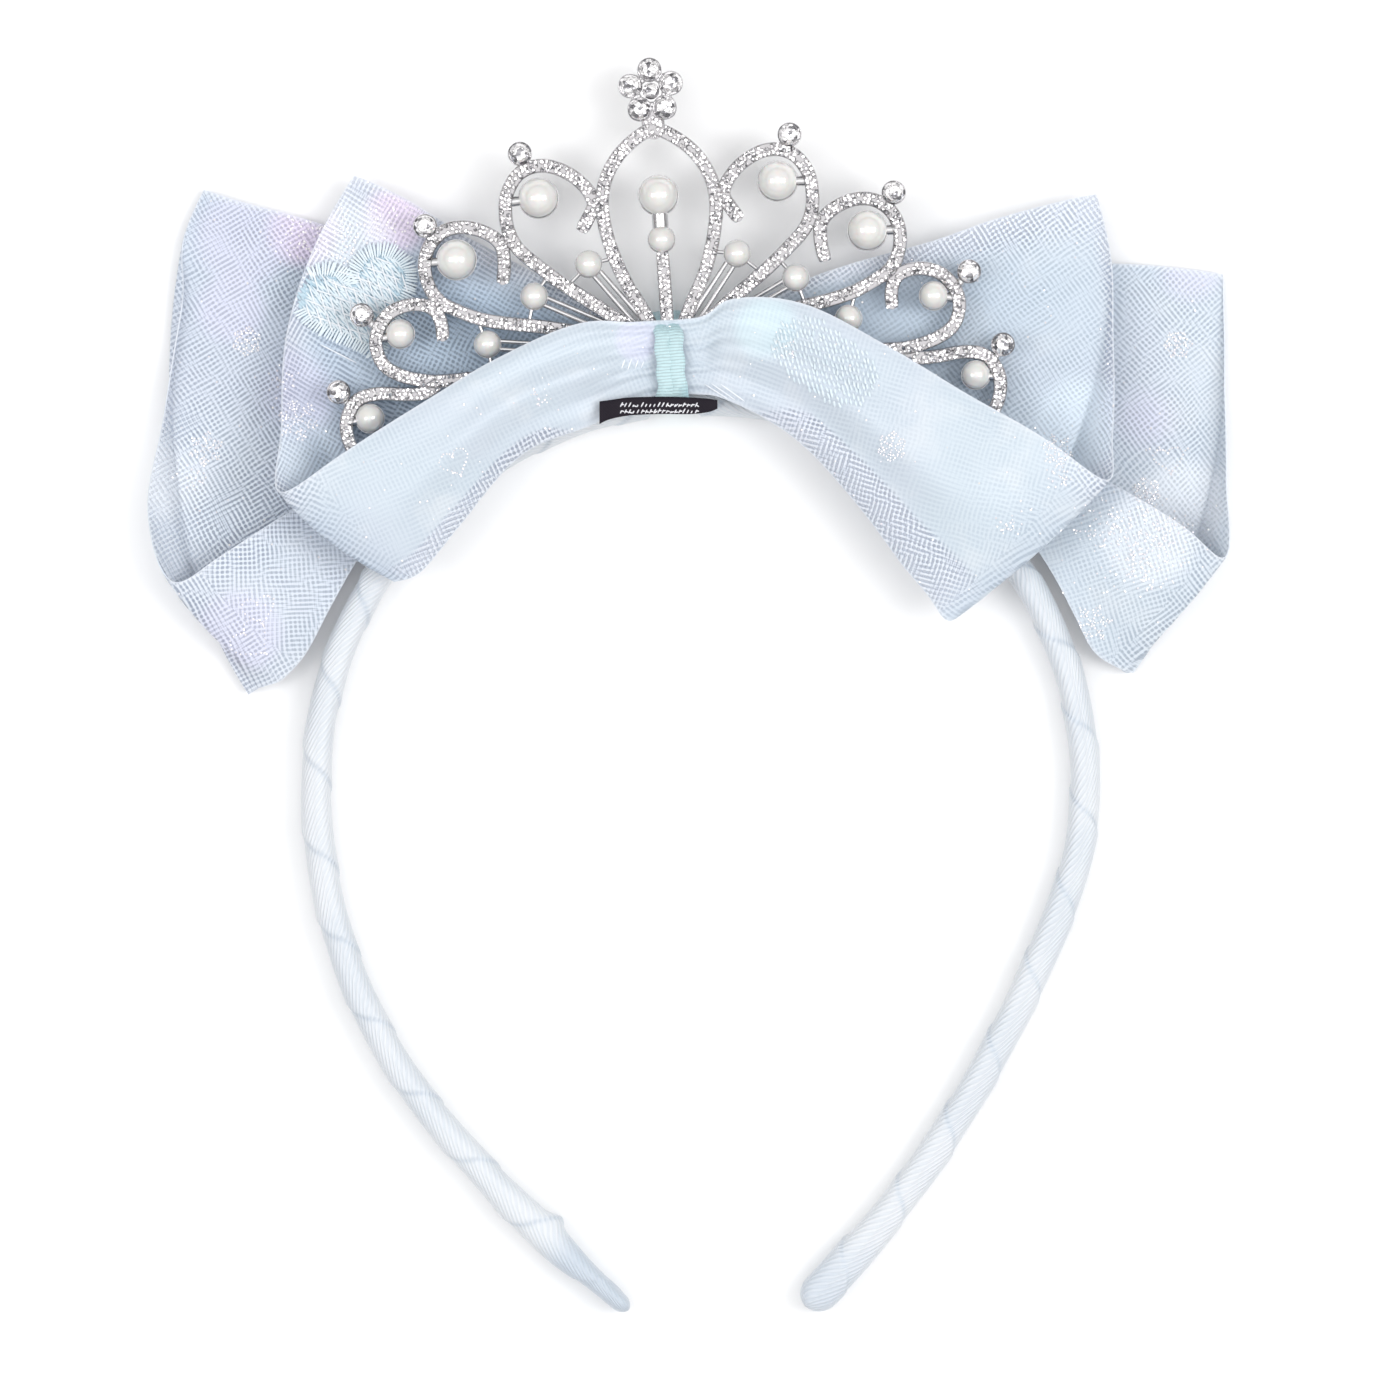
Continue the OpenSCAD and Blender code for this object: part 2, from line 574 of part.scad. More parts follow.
module crown() {
    color("silver") leaning() difference() {
        on_crown([0, 0], 0) {
            both_sides() crown_half_metal();
            crown_middle_metal();
        }
        both_sides() {
            for (p = PEARLS) pearl_seat(crown_at(p), p[4]);
            for (p = WIRE_PEARLS) pearl_seat(crown_at(p), small_pearl_d);
            for (p = BALLS) stone_seat(crown_at(p), ball_stone_d, crown_t + ball_rise);
        }
        for (p = STEM_PEARLS) pearl_seat([0, p[0] * crown_rise], p[1]);
        for (k = [0:4]) stone_seat(petal_at(k), petal_stone_d, crown_t);
        stone_seat([0, flower_up], flower_stone_d, crown_t);
    }
}

function petal_at(k) = [0, flower_up] + flower_ring_r * [cos(90 + 72 * k), sin(90 + 72 * k)];

module pearl(p, diameter) {
    color("ivory") leaning() on_crown(p, pearl_lift(diameter)) sphere(d = diameter);
}

// A round brilliant with its girdle at the given height above the crown's back
module stone(p, diameter, lift) {
    r = diameter / 2;
    color("white") leaning() on_crown(p, lift + seat_gap)
        rotate_extrude($fn = 8) polygon([
            [0, -0.7 * r], [r * 0.98, 0], [r * 0.98, 0.12 * r], [0.55 * r, 0.55 * r], [0, 0.55 * r]]);
}

SIDES = [["left", -1], ["right", 1]];

band();
long_bow();
short_bow();
knot();
label();
crown();
pearl([0, STEM_PEARLS[0][0] * crown_rise], STEM_PEARLS[0][1]);  // pearl_stem_upper
pearl([0, STEM_PEARLS[1][0] * crown_rise], STEM_PEARLS[1][1]);  // pearl_stem_lower
for (s = SIDES) for (k = [0:3]) {
    p = crown_at(PEARLS[k]);
    pearl([s[1] * p[0], p[1]], PEARLS[k][4]);
    b = crown_at(BALLS[k]);
    stone([s[1] * b[0], b[1]], ball_stone_d, crown_t + ball_rise);
}
for (s = SIDES) for (k = [0:2]) {
    p = crown_at(WIRE_PEARLS[k]);
    pearl([s[1] * p[0], p[1]], small_pearl_d);
}
for (k = [0:4])
    stone(petal_at(k), petal_stone_d, crown_t);
stone([0, flower_up], flower_stone_d, crown_t);  // flower_stone
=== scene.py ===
"""Finishes and modelled pieces for a child's headband: wrapped hoop, two net bows, knot, label and crown."""

import math

import bpy
import numpy as np
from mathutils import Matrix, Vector
from mathutils.bvhtree import BVHTree


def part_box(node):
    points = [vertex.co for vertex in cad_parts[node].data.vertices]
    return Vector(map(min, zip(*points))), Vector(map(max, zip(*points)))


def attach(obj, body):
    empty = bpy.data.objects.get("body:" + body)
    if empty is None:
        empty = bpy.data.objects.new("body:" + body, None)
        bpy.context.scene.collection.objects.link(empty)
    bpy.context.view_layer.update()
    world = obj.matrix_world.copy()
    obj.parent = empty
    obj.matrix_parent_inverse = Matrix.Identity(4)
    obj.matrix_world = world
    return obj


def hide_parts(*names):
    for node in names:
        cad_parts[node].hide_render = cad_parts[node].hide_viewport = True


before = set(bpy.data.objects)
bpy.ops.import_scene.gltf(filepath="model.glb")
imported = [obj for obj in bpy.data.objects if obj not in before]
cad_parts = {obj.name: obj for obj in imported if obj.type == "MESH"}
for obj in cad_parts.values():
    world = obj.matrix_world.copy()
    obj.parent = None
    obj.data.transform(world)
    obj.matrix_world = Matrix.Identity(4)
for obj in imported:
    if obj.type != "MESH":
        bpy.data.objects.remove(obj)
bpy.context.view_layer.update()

bl_info = {
    "name": "Crown headband finish",
    "version": (1, 0, 0),
    "blender": (4, 5, 0),
    "location": "View3D > Sidebar > Headband",
    "description": "Dresses the packed headband with net, ribbon, pave scrolls, pearls and stones",
    "category": "Object",
}

MM = 0.001
BODY = "root"
# Distance in m under which two points of a mesh are one
MERGE, FINE_MERGE = 1e-6, 2e-7

# Sizes shared with the part, in mm
LEAN = math.radians(4.1)
HOOP_R = 57.6
BAND_T = 4.8
BAND_W = 7.0
BAND_OUTER = HOOP_R + BAND_T / 2
RIBBON_W = 75.0
LOOP_DEPTH = 10.0
REACH = {"long_left": 78.0, "long_right": 84.0, "short_left": 54.5, "short_right": 63.0}
WAIST_LOW, WAIST_HIGH, WAIST_HALF, WAIST_LAP = 1.5, 9.9, 4.0, 1.6
LAYERS = {"long": (1.6, 2.9), "short": (5.45, 10.6)}
CROWN_FOOT, CROWN_HALF, CROWN_RISE = 6.2, 50.0, 41.0
CROWN_Z, CROWN_T = 8.0, 1.6
SCROLL_W = 2.1
SIDES = (("left", -1), ("right", 1))
STEM_UPPER_UP = 0.541
KNOT_TOP_Z = 12.2

# Arms of the hoop: radius as a share of HOOP_R, angle turned, thickness as a share of BAND_T
LEFT_ARM = [(1.357, 40, 1.03), (3.8, 4, 1.06), (3.8, 3.1, 1.18), (3.8, 0.8, 1.03), (3.8, 2.1, 0.88)]
RIGHT_ARM = [(0.846, 20.7, 1.03), (3.19, 12, 1.06), (2.664, 6.6, 1.1), (2.664, 1.5, 1.19),
             (2.664, 3.6, 1.28)]

# Loops, a row for each section from the back of the knot round to its front: 0 back or 1 front,
# mouth edge (along, above, lift), hidden edge (along, above, lift), puff (along, lift), pleat.
# Along is a share of the loop's REACH, above one of RIBBON_W, and lifts are shares of LOOP_DEPTH
SHORT_LEFT = [
    (0, 0.19, 0.20, 0.01, 0.20, 0.025, 0.01, 0, 0, 0),
    (0, 0.35, 0.37, 0.00, 0.43, 0.02, 0.02, 0, -0.02, 0),
    (0, 0.44, 0.52, -0.04, 0.68, 0.02, 0.07, 0, -0.02, 0),
    (0, 0.49, 0.60, -0.08, 0.83, 0.02, 0.12, 0, -0.05, 0),
    (0, 0.61, 0.52, 0.02, 0.92, -0.02, 0.32, 0, -0.16, 0),
    (0, 0.74, 0.42, 0.16, 0.97, -0.05, 0.38, 0, -0.18, 0),
    (0, 0.87, 0.30, 0.48, 0.99, -0.06, 0.44, 0, -0.06, 0),
    (0, 0.98, 0.22, 0.96, 1.00, -0.07, 0.52, 0.02, 0.06, 0),
    (1, 0.83, 0.17, 0.64, 0.92, -0.10, 0.04, 0, 0.30, 0.02),
    (1, 0.62, 0.14, 0.58, 0.71, -0.09, 0.02, 0, 0.36, 0.05),
    (1, 0.41, 0.14, 0.42, 0.46, -0.05, 0.00, 0, 0.36, 0.08),
    (1, 0.20, 0.15, 0.20, 0.25, -0.05, 0.00, 0, 0.22, 0.09),
]
SHORT_RIGHT = [
    (0, 0.20, 0.19, 0.01, 0.17, 0.03, 0.01, 0, 0, 0),
    (0, 0.42, 0.35, 0.00, 0.42, 0.03, 0.03, 0, -0.02, 0),
    (0, 0.53, 0.48, -0.04, 0.67, 0.03, 0.07, 0, -0.02, 0),
    (0, 0.63, 0.62, -0.08, 0.87, 0.02, 0.14, 0, -0.05, 0),
    (0, 0.70, 0.53, 0.02, 0.96, -0.03, 0.32, 0, -0.16, 0),
    (0, 0.78, 0.41, 0.16, 1.00, -0.10, 0.40, 0, -0.18, 0),
    (0, 0.89, 0.28, 0.48, 1.01, -0.17, 0.46, 0, -0.06, 0),
    (0, 0.95, 0.21, 0.96, 1.00, -0.21, 0.56, 0.01, 0.06, 0),
    (1, 0.81, 0.17, 0.64, 0.91, -0.21, 0.06, 0, 0.28, 0.02),
    (1, 0.63, 0.14, 0.58, 0.74, -0.20, 0.04, 0, 0.36, 0.05),
    (1, 0.44, 0.15, 0.46, 0.52, -0.15, 0.02, 0, 0.38, 0.08),
    (1, 0.26, 0.18, 0.28, 0.31, -0.08, 0.00, 0, 0.28, 0.10),
    (1, 0.13, 0.17, 0.10, 0.13, -0.03, 0.00, 0, 0.12, 0.06),
]
LONG_LEFT = [
    (0, 0.16, 0.23, -0.01, 0.21, 0.025, -0.01, 0, 0, 0),
    (0, 0.34, 0.44, -0.03, 0.45, 0.025, -0.01, 0, 0, 0),
    (0, 0.44, 0.64, -0.03, 0.71, 0.03, -0.01, 0, 0, 0),
    (0, 0.48, 0.75, -0.02, 0.89, 0.05, -0.01, 0, 0, 0),
    (0, 0.53, 0.70, 0.06, 0.97, 0.09, -0.01, 0, 0, 0),
    (0, 0.58, 0.61, 0.22, 1.00, 0.12, 0.00, 0, 0, 0),
    (0, 0.69, 0.50, 0.44, 0.99, 0.11, 0.06, 0.01, -0.04, 0),
    (0, 0.80, 0.43, 0.69, 0.98, 0.09, 0.14, 0.01, 0, 0),
    (0, 0.87, 0.33, 0.89, 0.96, 0.06, 0.20, 0.01, 0.06, 0),
    (1, 0.81, 0.26, 0.76, 0.90, 0.03, 0.11, 0, 0.12, 0),
    (1, 0.71, 0.19, 0.42, 0.80, 0.02, 0.11, 0, 0.06, 0),
    (1, 0.60, 0.13, 0.20, 0.69, 0.02, 0.09, 0, 0.02, 0),
    (1, 0.35, 0.11, 0.03, 0.43, 0.02, 0.02, 0, 0, 0),
    (1, 0.17, 0.12, 0.01, 0.20, 0.02, 0.01, 0, 0, 0),
]
LONG_RIGHT = [
    (0, 0.20, 0.19, -0.01, 0.17, 0.03, -0.01, 0, 0, 0),
    (0, 0.38, 0.32, -0.03, 0.39, 0.03, -0.01, 0, 0, 0),
    (0, 0.53, 0.53, -0.03, 0.66, 0.03, -0.01, 0, 0, 0),
    (0, 0.62, 0.66, -0.02, 0.90, 0.03, -0.01, 0, 0, 0),
    (0, 0.66, 0.59, 0.10, 0.98, 0.07, -0.01, 0, 0, 0),
    (0, 0.72, 0.50, 0.28, 0.99, 0.09, 0.01, 0, 0, 0),
    (0, 0.80, 0.41, 0.52, 0.99, 0.09, 0.06, 0, -0.02, 0),
    (0, 0.88, 0.34, 0.87, 0.98, 0.07, 0.14, 0, 0.04, 0),
    (1, 0.82, 0.29, 0.70, 0.94, 0.03, 0.09, 0, 0.08, 0),
    (1, 0.71, 0.21, 0.36, 0.87, 0.02, 0.08, 0, 0.03, 0),
    (1, 0.58, 0.14, 0.06, 0.75, 0.02, 0.05, 0, 0, 0),
    (1, 0.43, 0.11, 0.02, 0.51, 0.02, 0.02, 0, 0, 0),
    (1, 0.21, 0.11, 0.01, 0.21, 0.02, 0.01, 0, 0, 0),
]

# Crown's right half: (share of CROWN_HALF across, share of CROWN_RISE up)
DROP_SIDE = [
    (0.032, 0.020), (0.052, 0.078), (0.078, 0.146), (0.112, 0.224), (0.140, 0.312), (0.160, 0.402),
    (0.170, 0.490), (0.166, 0.561), (0.148, 0.629), (0.110, 0.698), (0.056, 0.754), (0, 0.790),
]
SCROLLS = [
    [(0.240, 0.427), (0.214, 0.478), (0.195, 0.525), (0.210, 0.578), (0.252, 0.634), (0.312, 0.673),
     (0.368, 0.678), (0.418, 0.649), (0.452, 0.583), (0.460, 0.510), (0.452, 0.440), (0.426, 0.378),
     (0.370, 0.312), (0.310, 0.249), (0.240, 0.185), (0.120, 0.078), (0.044, 0.015)],
    [(0.484, 0.256), (0.474, 0.332), (0.482, 0.405), (0.524, 0.451), (0.584, 0.476), (0.644, 0.468),
     (0.692, 0.420), (0.712, 0.349), (0.704, 0.273), (0.676, 0.215), (0.630, 0.178), (0.560, 0.139),
     (0.480, 0.115), (0.404, 0.100), (0.334, 0.083), (0.190, 0.039), (0.050, -0.015)],
    [(0.674, 0.066), (0.674, 0.130), (0.692, 0.182), (0.732, 0.205), (0.784, 0.204), (0.832, 0.178),
     (0.866, 0.122), (0.874, 0.059), (0.854, -0.005), (0.806, -0.046), (0.732, -0.072),
     (0.664, -0.078), (0.520, -0.070), (0.280, -0.060), (0.060, -0.050)],
    [(0.690, -0.080), (0.740, -0.116), (0.804, -0.116), (0.878, -0.107), (0.940, -0.124),
     (0.976, -0.190), (0.976, -0.268), (0.945, -0.335), (0.870, -0.358), (0.760, -0.330),
     (0.560, -0.254), (0.320, -0.166), (0.080, -0.083)],
]
STROKES = [DROP_SIDE] + SCROLLS
# Balls at the scrolls' tips and pearls inside them, each with the foot that joins it to its scroll,
# and pearls on pairs of wires, each with the wires' foot
LARGE_PEARL_D, MEDIUM_PEARL_D, SMALL_PEARL_D = 6.0, 4.3, 4.0
BALLS = [(0.404, 0.728, 0.395, 0.665), (0.702, 0.490, 0.680, 0.435),
         (0.910, 0.183, 0.868, 0.130), (0.995, -0.091, 0.962, -0.150)]
PEARLS = [(0.358, 0.562, 0.452, 0.555, LARGE_PEARL_D), (0.616, 0.359, 0.705, 0.355, LARGE_PEARL_D),
          (0.799, 0.104, 0.870, 0.090, MEDIUM_PEARL_D), (0.908, -0.195, 0.974, -0.205, MEDIUM_PEARL_D)]
WIRE_PEARLS = [(0.222, 0.309, 0.050, 0.030), (0.392, 0.206, 0.080, 0.010), (0.541, 0.044, 0.100, -0.030)]
# Prongs that hold the pearls on wires: which pearl, and where the prong ends
PRONGS = [(0, 0.150, 0.324), (0, 0.290, 0.236), (1, 0.345, 0.278), (1, 0.414, 0.108),
          (2, 0.566, 0.136), (2, 0.530, -0.066)]
# Where the lower pearl of the stem sits, like STEM_UPPER_UP a share of CROWN_RISE
STEM_LOWER_UP = 0.380
# Share of a pearl's solid that its bead fills, as the rest is the cup's rim, and how flat its seat is
PEARL_SHOWN, PEARL_SEAT = 0.95, 0.06
# Height by which each stroke of the crown lies above the one before it
STROKE_STEP = 0.03
# Middle of the flower, as a share of CROWN_RISE, the settings' radii and their stones' radii
FLOWER_UP = 0.922
BALL_R, PETAL_R = 1.75, 1.85
BALL_STONE_R, PETAL_STONE_R, FLOWER_STONE_R = 1.62, 1.67, 1.25
# How much higher a ball holds its stone than a petal does
BALL_LIFT = 0.55
# Pairs of wires: a wire's width and the gap between two. Radii of the round bars
WIRE_W, WIRE_GAP = 0.5, 0.7
FOOT_R, WIRE_R, PRONG_R, STEM_NECK_R = 0.75, 0.35, 0.30, 1.2
# Widths of the stem and of the top neck, between the drop and the flower, and where that neck starts
# and ends
STEM_W, TOP_NECK_W = 2.0, 3.5
TOP_NECK_UP = (0.745, 0.865)

# How far the long left loop's mouth lies down on itself, as a share of the solid's lift
MOUTH_FALL = 0.7
# Thickness of the net, and width of its woven edge
NET_T, SELVAGE_W = 0.2, 0.6
# Steps from one section of a loop to the next, and points from edge to edge
LOOP_STEPS, NET_POINTS = 8, 65
# Angle of the net's threads in the photo's plane, in degrees: (back, front) of a bow's left loop
# and of its right one
GRAIN = {"long_bow": ((-18, 45), (-10, -30)), "short_bow": ((12, -25), (-15, 25))}

# Step where the hoop's ribbon laps over its last turn, and the length of the hoop's sections
WRAP_LAP, HOOP_STEP = 0.28, 0.4
# How far from the knot's middle it draws the ribbon in not at all and fully, and by which share on
# the hoop's inner side and on its back
KNOT_HOLDS, DRAWN_IN, DRAWN_UP = (4.2, 3.0), 0.45, 0.36
# Left tip: how much thinner it is pressed, and over which length. The ribbon's end above it: its
# distance from the tip, its width and its height
TIP_PRESSED, TIP_LENGTH = 0.26, 15.5
BUMP_AT, BUMP_W, BUMP_UP = 17.0, 1.5, 0.9

# Round the knot: (radius from the hoop's centre, height), from the back's middle up over the front
KNOT_RING = [(63, 0.4), (67, 0.4), (70.4, 1.0), (70.9, 4), (70.2, 7.4), (69.2, 9.6), (67.6, 11.3),
             (64.5, 12.0), (60, 12.1), (58.0, 11.9), (56.7, 11.0), (56.2, 8), (56.2, 4), (56.5, 1),
             (58.5, 0.4)]
# Half the knot's width over the bows, what it gains at its foot, and its ribbon's thickness
KNOT_HALF, KNOT_FOOT, KNOT_T = 1.95, 1.15, 0.3
# How high the knot's two columns and its ribs stand, and how deep its ground lies
COLUMN_UP, RIB_UP, KNOT_SUNK = 0.22, 0.16, 0.35

# Label, from the hoop's centre: (x, upper y, lower y). How high it lies over the knot, and half of
# its folded thickness
LABEL_COLUMNS = [(-15.1, 57.3, 53.9), (-13.6, 57.5, 54.6), (-10.5, 57.9, 55.2), (-6.0, 58.0, 55.4),
                 (-1.5, 57.9, 55.4), (1.2, 57.7, 55.7), (2.5, 57.5, 56.2)]
LABEL_UP, LABEL_FOLD = 0.9, 0.45
# The label's dashes: the y of their rows, from and to which x they go, and the step between two
DASH_ROWS, DASH_SPAN, DASH_STEP = (56.45, 55.5), (-12.0, -0.6), 0.62

# Rows of small stones along a scroll: how many on a scroll and on the top neck, the step from one
# to the next, the nearest that two stones may lie, and how deep they sit
PAVE_ROWS, NECK_ROWS = 3, 5
PAVE_STEP, PAVE_CLEAR, PAVE_SUNK = 0.56, 0.54, 0.34
# How far the scrolls' stones keep from the middles of the flower's settings
FLOWER_CLEAR = 2.0

# Embroidery: the heart's place, width and turn, and the patch's place, half sizes and turn
HEART_AT, HEART_W, HEART_TURN = (-50.8, 71.4), 17.6, math.radians(19)
PATCH_AT, PATCH_HALF, PATCH_TURN = (18.5, 63.2), (8.9, 5.3), math.radians(-36)
LOOSE_THREADS = [
    ((-11.8, 62.2), (-11.3, 63.6)), ((-10.9, 62.0), (-10.3, 63.7)), ((-9.8, 62.2), (-9.3, 63.6)),
    ((-8.9, 62.3), (-8.5, 63.3)), ((0.6, 59.9), (4.2, 57.6)), ((1.6, 60.0), (5.2, 57.5)),
    ((3.0, 59.9), (6.6, 57.3)), ((-57.0, 66.0), (-51.5, 63.2)), ((-60.5, 74.2), (-57.6, 71.6)),
]

# Prints on the net: (kind, x and y from the hoop's centre, size)
GLITTER = (
    ("snowflake", -60.3, 54.6, 3.2), ("snowflake", -74.2, 50.4, 2.8), ("snowflake", 53.2, 50.0, 2.6),
    ("snowflake", 58.6, 24.2, 3.0), ("snowflake", 66.8, 44.0, 2.4), ("heart", -67.0, 21.5, 3.0),
    ("heart", 70.2, 48.6, 2.2), ("heart", -66.0, 26.0, 2.4), ("cloud", 67.5, 37.0, 7.0),
    ("cloud", 59.4, 38.4, 3.6), ("cloud", 53.4, 46.2, 2.6), ("cloud", 66.0, 32.0, 3.4),
    ("cloud", -75.6, 46.2, 2.2), ("cloud", -62.5, 60.5, 2.2), ("cloud", 46.0, 38.5, 2.2),
    ("snowflake", 71.5, 66.0, 2.2), ("snowflake", -68.0, 66.5, 2.4), ("cloud", -24.0, 57.6, 2.0),
    ("snowflake", 28.5, 50.5, 2.4), ("heart", -36.5, 48.0, 2.2), ("cloud", 12.5, 65.0, 2.2),
    ("cloud", -59.6, 82.4, 4.4), ("cloud", -46.4, 84.6, 4.0), ("cloud", -53.2, 81.6, 4.4),
)
# The print's height over the net
PRINT_LIFT = 0.12
# Flakes that lie all over the bows, and the box that they are thrown over: (left, low), (right, high)
STRAY_FLAKES, FLAKE_BOX = 420, ((-82, 14), (80, 92))

# Iridescent places on the net, and painted light that lifts shaded folds: (place, radius, colour)
PINK, LILAC, AQUA = (0.88, 0.69, 0.91, 1), (0.70, 0.70, 0.87, 1), (0.66, 0.82, 0.88, 1)
# FROST_AND_PAINTED_LIGHT is glitter white on two clouds and painted light on two shaded folds; PAINTED_LIGHT
# is painted light
FROST_AND_PAINTED_LIGHT, PAINTED_LIGHT = (0.84, 0.88, 0.94, 1), (0.74, 0.84, 0.94, 1)
NET_SPOTS = [
    ((-59.8, 83.0, 4), 7, PINK), ((-45.8, 84.6, 8), 7, PINK), ((-52.8, 81.0, 8), 9, FROST_AND_PAINTED_LIGHT),
    ((-68.5, 82.0, 3), 9, LILAC), ((-70.5, 71.5, 4), 7, LILAC), ((66.5, 55.0, 7), 8, LILAC),
    ((-62.0, 58.0, 8), 9, LILAC), ((-9.5, 66.5, 11), 4, LILAC), ((67.0, 37.0, 8), 9, FROST_AND_PAINTED_LIGHT),
    ((-69.0, 22.5, 8), 8, LILAC), ((73.5, 77.0, 5), 7, LILAC), ((10.0, 68.0, 12), 6, AQUA),
    ((72.5, 41.5, 3), 9, FROST_AND_PAINTED_LIGHT), ((57.0, 54.0, 8), 9, PAINTED_LIGHT), ((-60.0, 48.5, 8), 8, PAINTED_LIGHT),
    ((-77.5, 46.0, 8), 9, FROST_AND_PAINTED_LIGHT),
]

# Studio: (name, place in m, size in m, power in W)
SOFTBOXES = (("key", (0.70, 0.05, 1.02), 0.56, 4.8), ("left", (-0.68, 0.0, 1.04), 0.46, 2.6))
# Sky: (sine of the height above the horizon, brightness). The dark ring gives the polished metal its
# dark edges
SKY = ((0.10, 0.95), (0.15, 0.18), (0.30, 0.18), (0.38, 0.78), (0.90, 0.84), (0.94, 1.76), (1.0, 1.76))
# Floor: its width and its height, in m
FLOOR_W, FLOOR_Z = 6, -0.00005
# Camera: its height and the width that it sees, in m, its sensor in mm, and what it looks at, in mm
# from the hoop's centre
CAMERA_UP, SEEN, SENSOR, TARGET = 2.4, 0.21, 36, (-0.1, 12.75, 0)


def hoop_centre():
    """The hoop's centre in the frame, in mm, from the upper stem pearl that the crown holds."""
    low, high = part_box("pearl_stem_upper")
    up = BAND_OUTER + CROWN_FOOT + STEM_UPPER_UP * CROWN_RISE
    x, y = (low[0] + high[0]) / 2 / MM, (low[1] + high[1]) / 2 / MM
    return np.array([x + up * math.sin(LEAN), y - up * math.cos(LEAN), 0.0])


CENTRE = hoop_centre()


# Curves and places
def over_hoop(p):
    """(along the hoop, above the band, height) to hoop-centred mm."""
    p = np.asarray(p, float)
    angle = p[..., 0] / BAND_OUTER - LEAN
    r = BAND_OUTER + p[..., 1]
    return np.stack([r * np.sin(angle), r * np.cos(angle), p[..., 2]], -1)


def rotated(x, y, angle):
    """x and y turned about the origin."""
    c, s = np.cos(angle), np.sin(angle)
    return x * c - y * s, x * s + y * c


def crown_at(across, up):
    """A place in the crown's plane, in mm, to hoop-centred mm."""
    return np.array([*rotated(across, BAND_OUTER + CROWN_FOOT + up, LEAN), CROWN_Z])


def on_side(side, x, y):
    """A place given in shares of the crown's right half, on one side of it."""
    return crown_at(side * x * CROWN_HALF, y * CROWN_RISE)


def raised(lift):
    return np.array([0, 0, lift])


def unit(vectors):
    return vectors / np.linalg.norm(vectors, axis=-1, keepdims=True)


def run(line):
    """The length from a line's start to each of its points."""
    return np.concatenate([[0], np.cumsum(np.linalg.norm(np.diff(line, axis=0), axis=1))])


def place_at(line, lengths, at):
    """The places on a line at some lengths from its start."""
    return np.stack([np.interp(at, lengths, values) for values in line.T], -1)


def fade(value, start, end):
    """0 before start, 1 after end, and smooth between them; end may be the lower one."""
    t = np.clip((value - start) / (end - start), 0, 1)
    return t * t * (3 - 2 * t)


def boxy(wave, power):
    """A sine or cosine raised to a power under 1, which makes a round section squarer."""
    return np.sign(wave) * np.abs(wave) ** power


def smooth(points, steps, closed=False, corners=()):
    """The Catmull-Rom curve through points, with steps between two of them and sharp corners."""
    p = np.asarray(points, float)
    n = len(p)
    out = []
    for i in range(n if closed else n - 1):
        a, b, c, d = [(i + k) % n if closed else min(max(i + k, 0), n - 1) for k in (-1, 0, 1, 2)]
        a, b, c, d = p[b if b in corners else a], p[b], p[c], p[c if c in corners else d]
        for t in np.arange(steps) / steps:
            out.append((2 * b + (c - a) * t + (2 * a - 5 * b + 4 * c - d) * t * t
                        + (3 * b - a - 3 * c + d) * t ** 3) / 2)
    if not closed:
        out.append(p[-1])
    return np.array(out)


def in_frame(points):
    """Hoop-centred mm to the frame's metres."""
    return (np.asarray(points, float) + CENTRE) * MM


# Making meshes
def only(obj):
    """Makes obj the one selected and active object."""
    bpy.ops.object.select_all(action="DESELECT")
    obj.select_set(True)
    bpy.context.view_layer.objects.active = obj


def edit(obj, *steps):
    """Runs mesh operators on all of obj in edit mode."""
    only(obj)
    bpy.ops.object.mode_set(mode="EDIT")
    bpy.ops.mesh.select_all(action="SELECT")
    for step in steps:
        step()
    bpy.ops.object.mode_set(mode="OBJECT")


def named(name):
    """Names the active object and its mesh."""
    obj = bpy.context.object
    obj.name = name
    obj.data.name = name
    return obj


def merged(obj, distance=MERGE):
    edit(obj, lambda: bpy.ops.mesh.remove_doubles(threshold=distance))
    return obj


def outward(obj):
    edit(obj, lambda: bpy.ops.mesh.normals_make_consistent(inside=False))
    return obj


def smooth_shaded(obj, angle):
    only(obj)
    bpy.ops.object.shade_smooth_by_angle(angle=math.radians(angle))
    return obj


def grid(name, points, uv=None):
    """A grid primitive whose vertices are moved to points (rows, columns, 3), in hoop-centred mm."""
    rows, cols = points.shape[:2]
    bpy.ops.object.select_all(action="DESELECT")
    bpy.ops.mesh.primitive_grid_add(x_subdivisions=cols - 1, y_subdivisions=rows - 1, size=1)
    obj = named(name)
    obj.data.vertices.foreach_set("co", in_frame(points).reshape(-1))
    if uv is not None:
        corners = mesh_numbers(obj.data.loops, "vertex_index", int)
        obj.data.uv_layers[0].data.foreach_set("uv", uv.reshape(-1, 2)[corners].reshape(-1))
    obj.data.update()
    return obj


def mesh_numbers(items, name, kind=float, each=1):
    """One number or vector of every item of a mesh, as an array."""
    values = np.empty(len(items) * each, kind)
    items.foreach_get(name, values)
    return values


def metres_over(along, across):
    """A UV map in metres for a grid, from lengths in mm along its rows and across its columns."""
    return np.stack(np.broadcast_arrays(np.reshape(along, (-1, 1)), np.reshape(across, (1, -1))), -1) * MM


def swept(name, path, section, shares=1.0):
    """A closed section, (sideways, upwards) in mm, swept along a level path and closed at its ends.
    shares scales its width along the way."""
    side = unit(np.cross([0, 0, 1], unit(np.gradient(path, axis=0))))
    section = np.vstack([section, section[:1]])
    widths = np.multiply.outer(shares * np.ones(len(path)), section[:, 0])
    points = path[:, None] + side[:, None] * widths[..., None]
    points[..., 2] += section[:, 1]
    uv = metres_over(run(path), run(section))
    middle = section[:-1].mean(0)
    for row, end in ((0, 0), (len(points) + 1, -1)):
        flat = path[end] + side[end] * middle[0] + raised(middle[1])
        points = np.insert(points, row, flat, axis=0)
        uv = np.insert(uv, row, uv[end], axis=0)
    return outward(merged(grid(name, points, uv), FINE_MERGE))


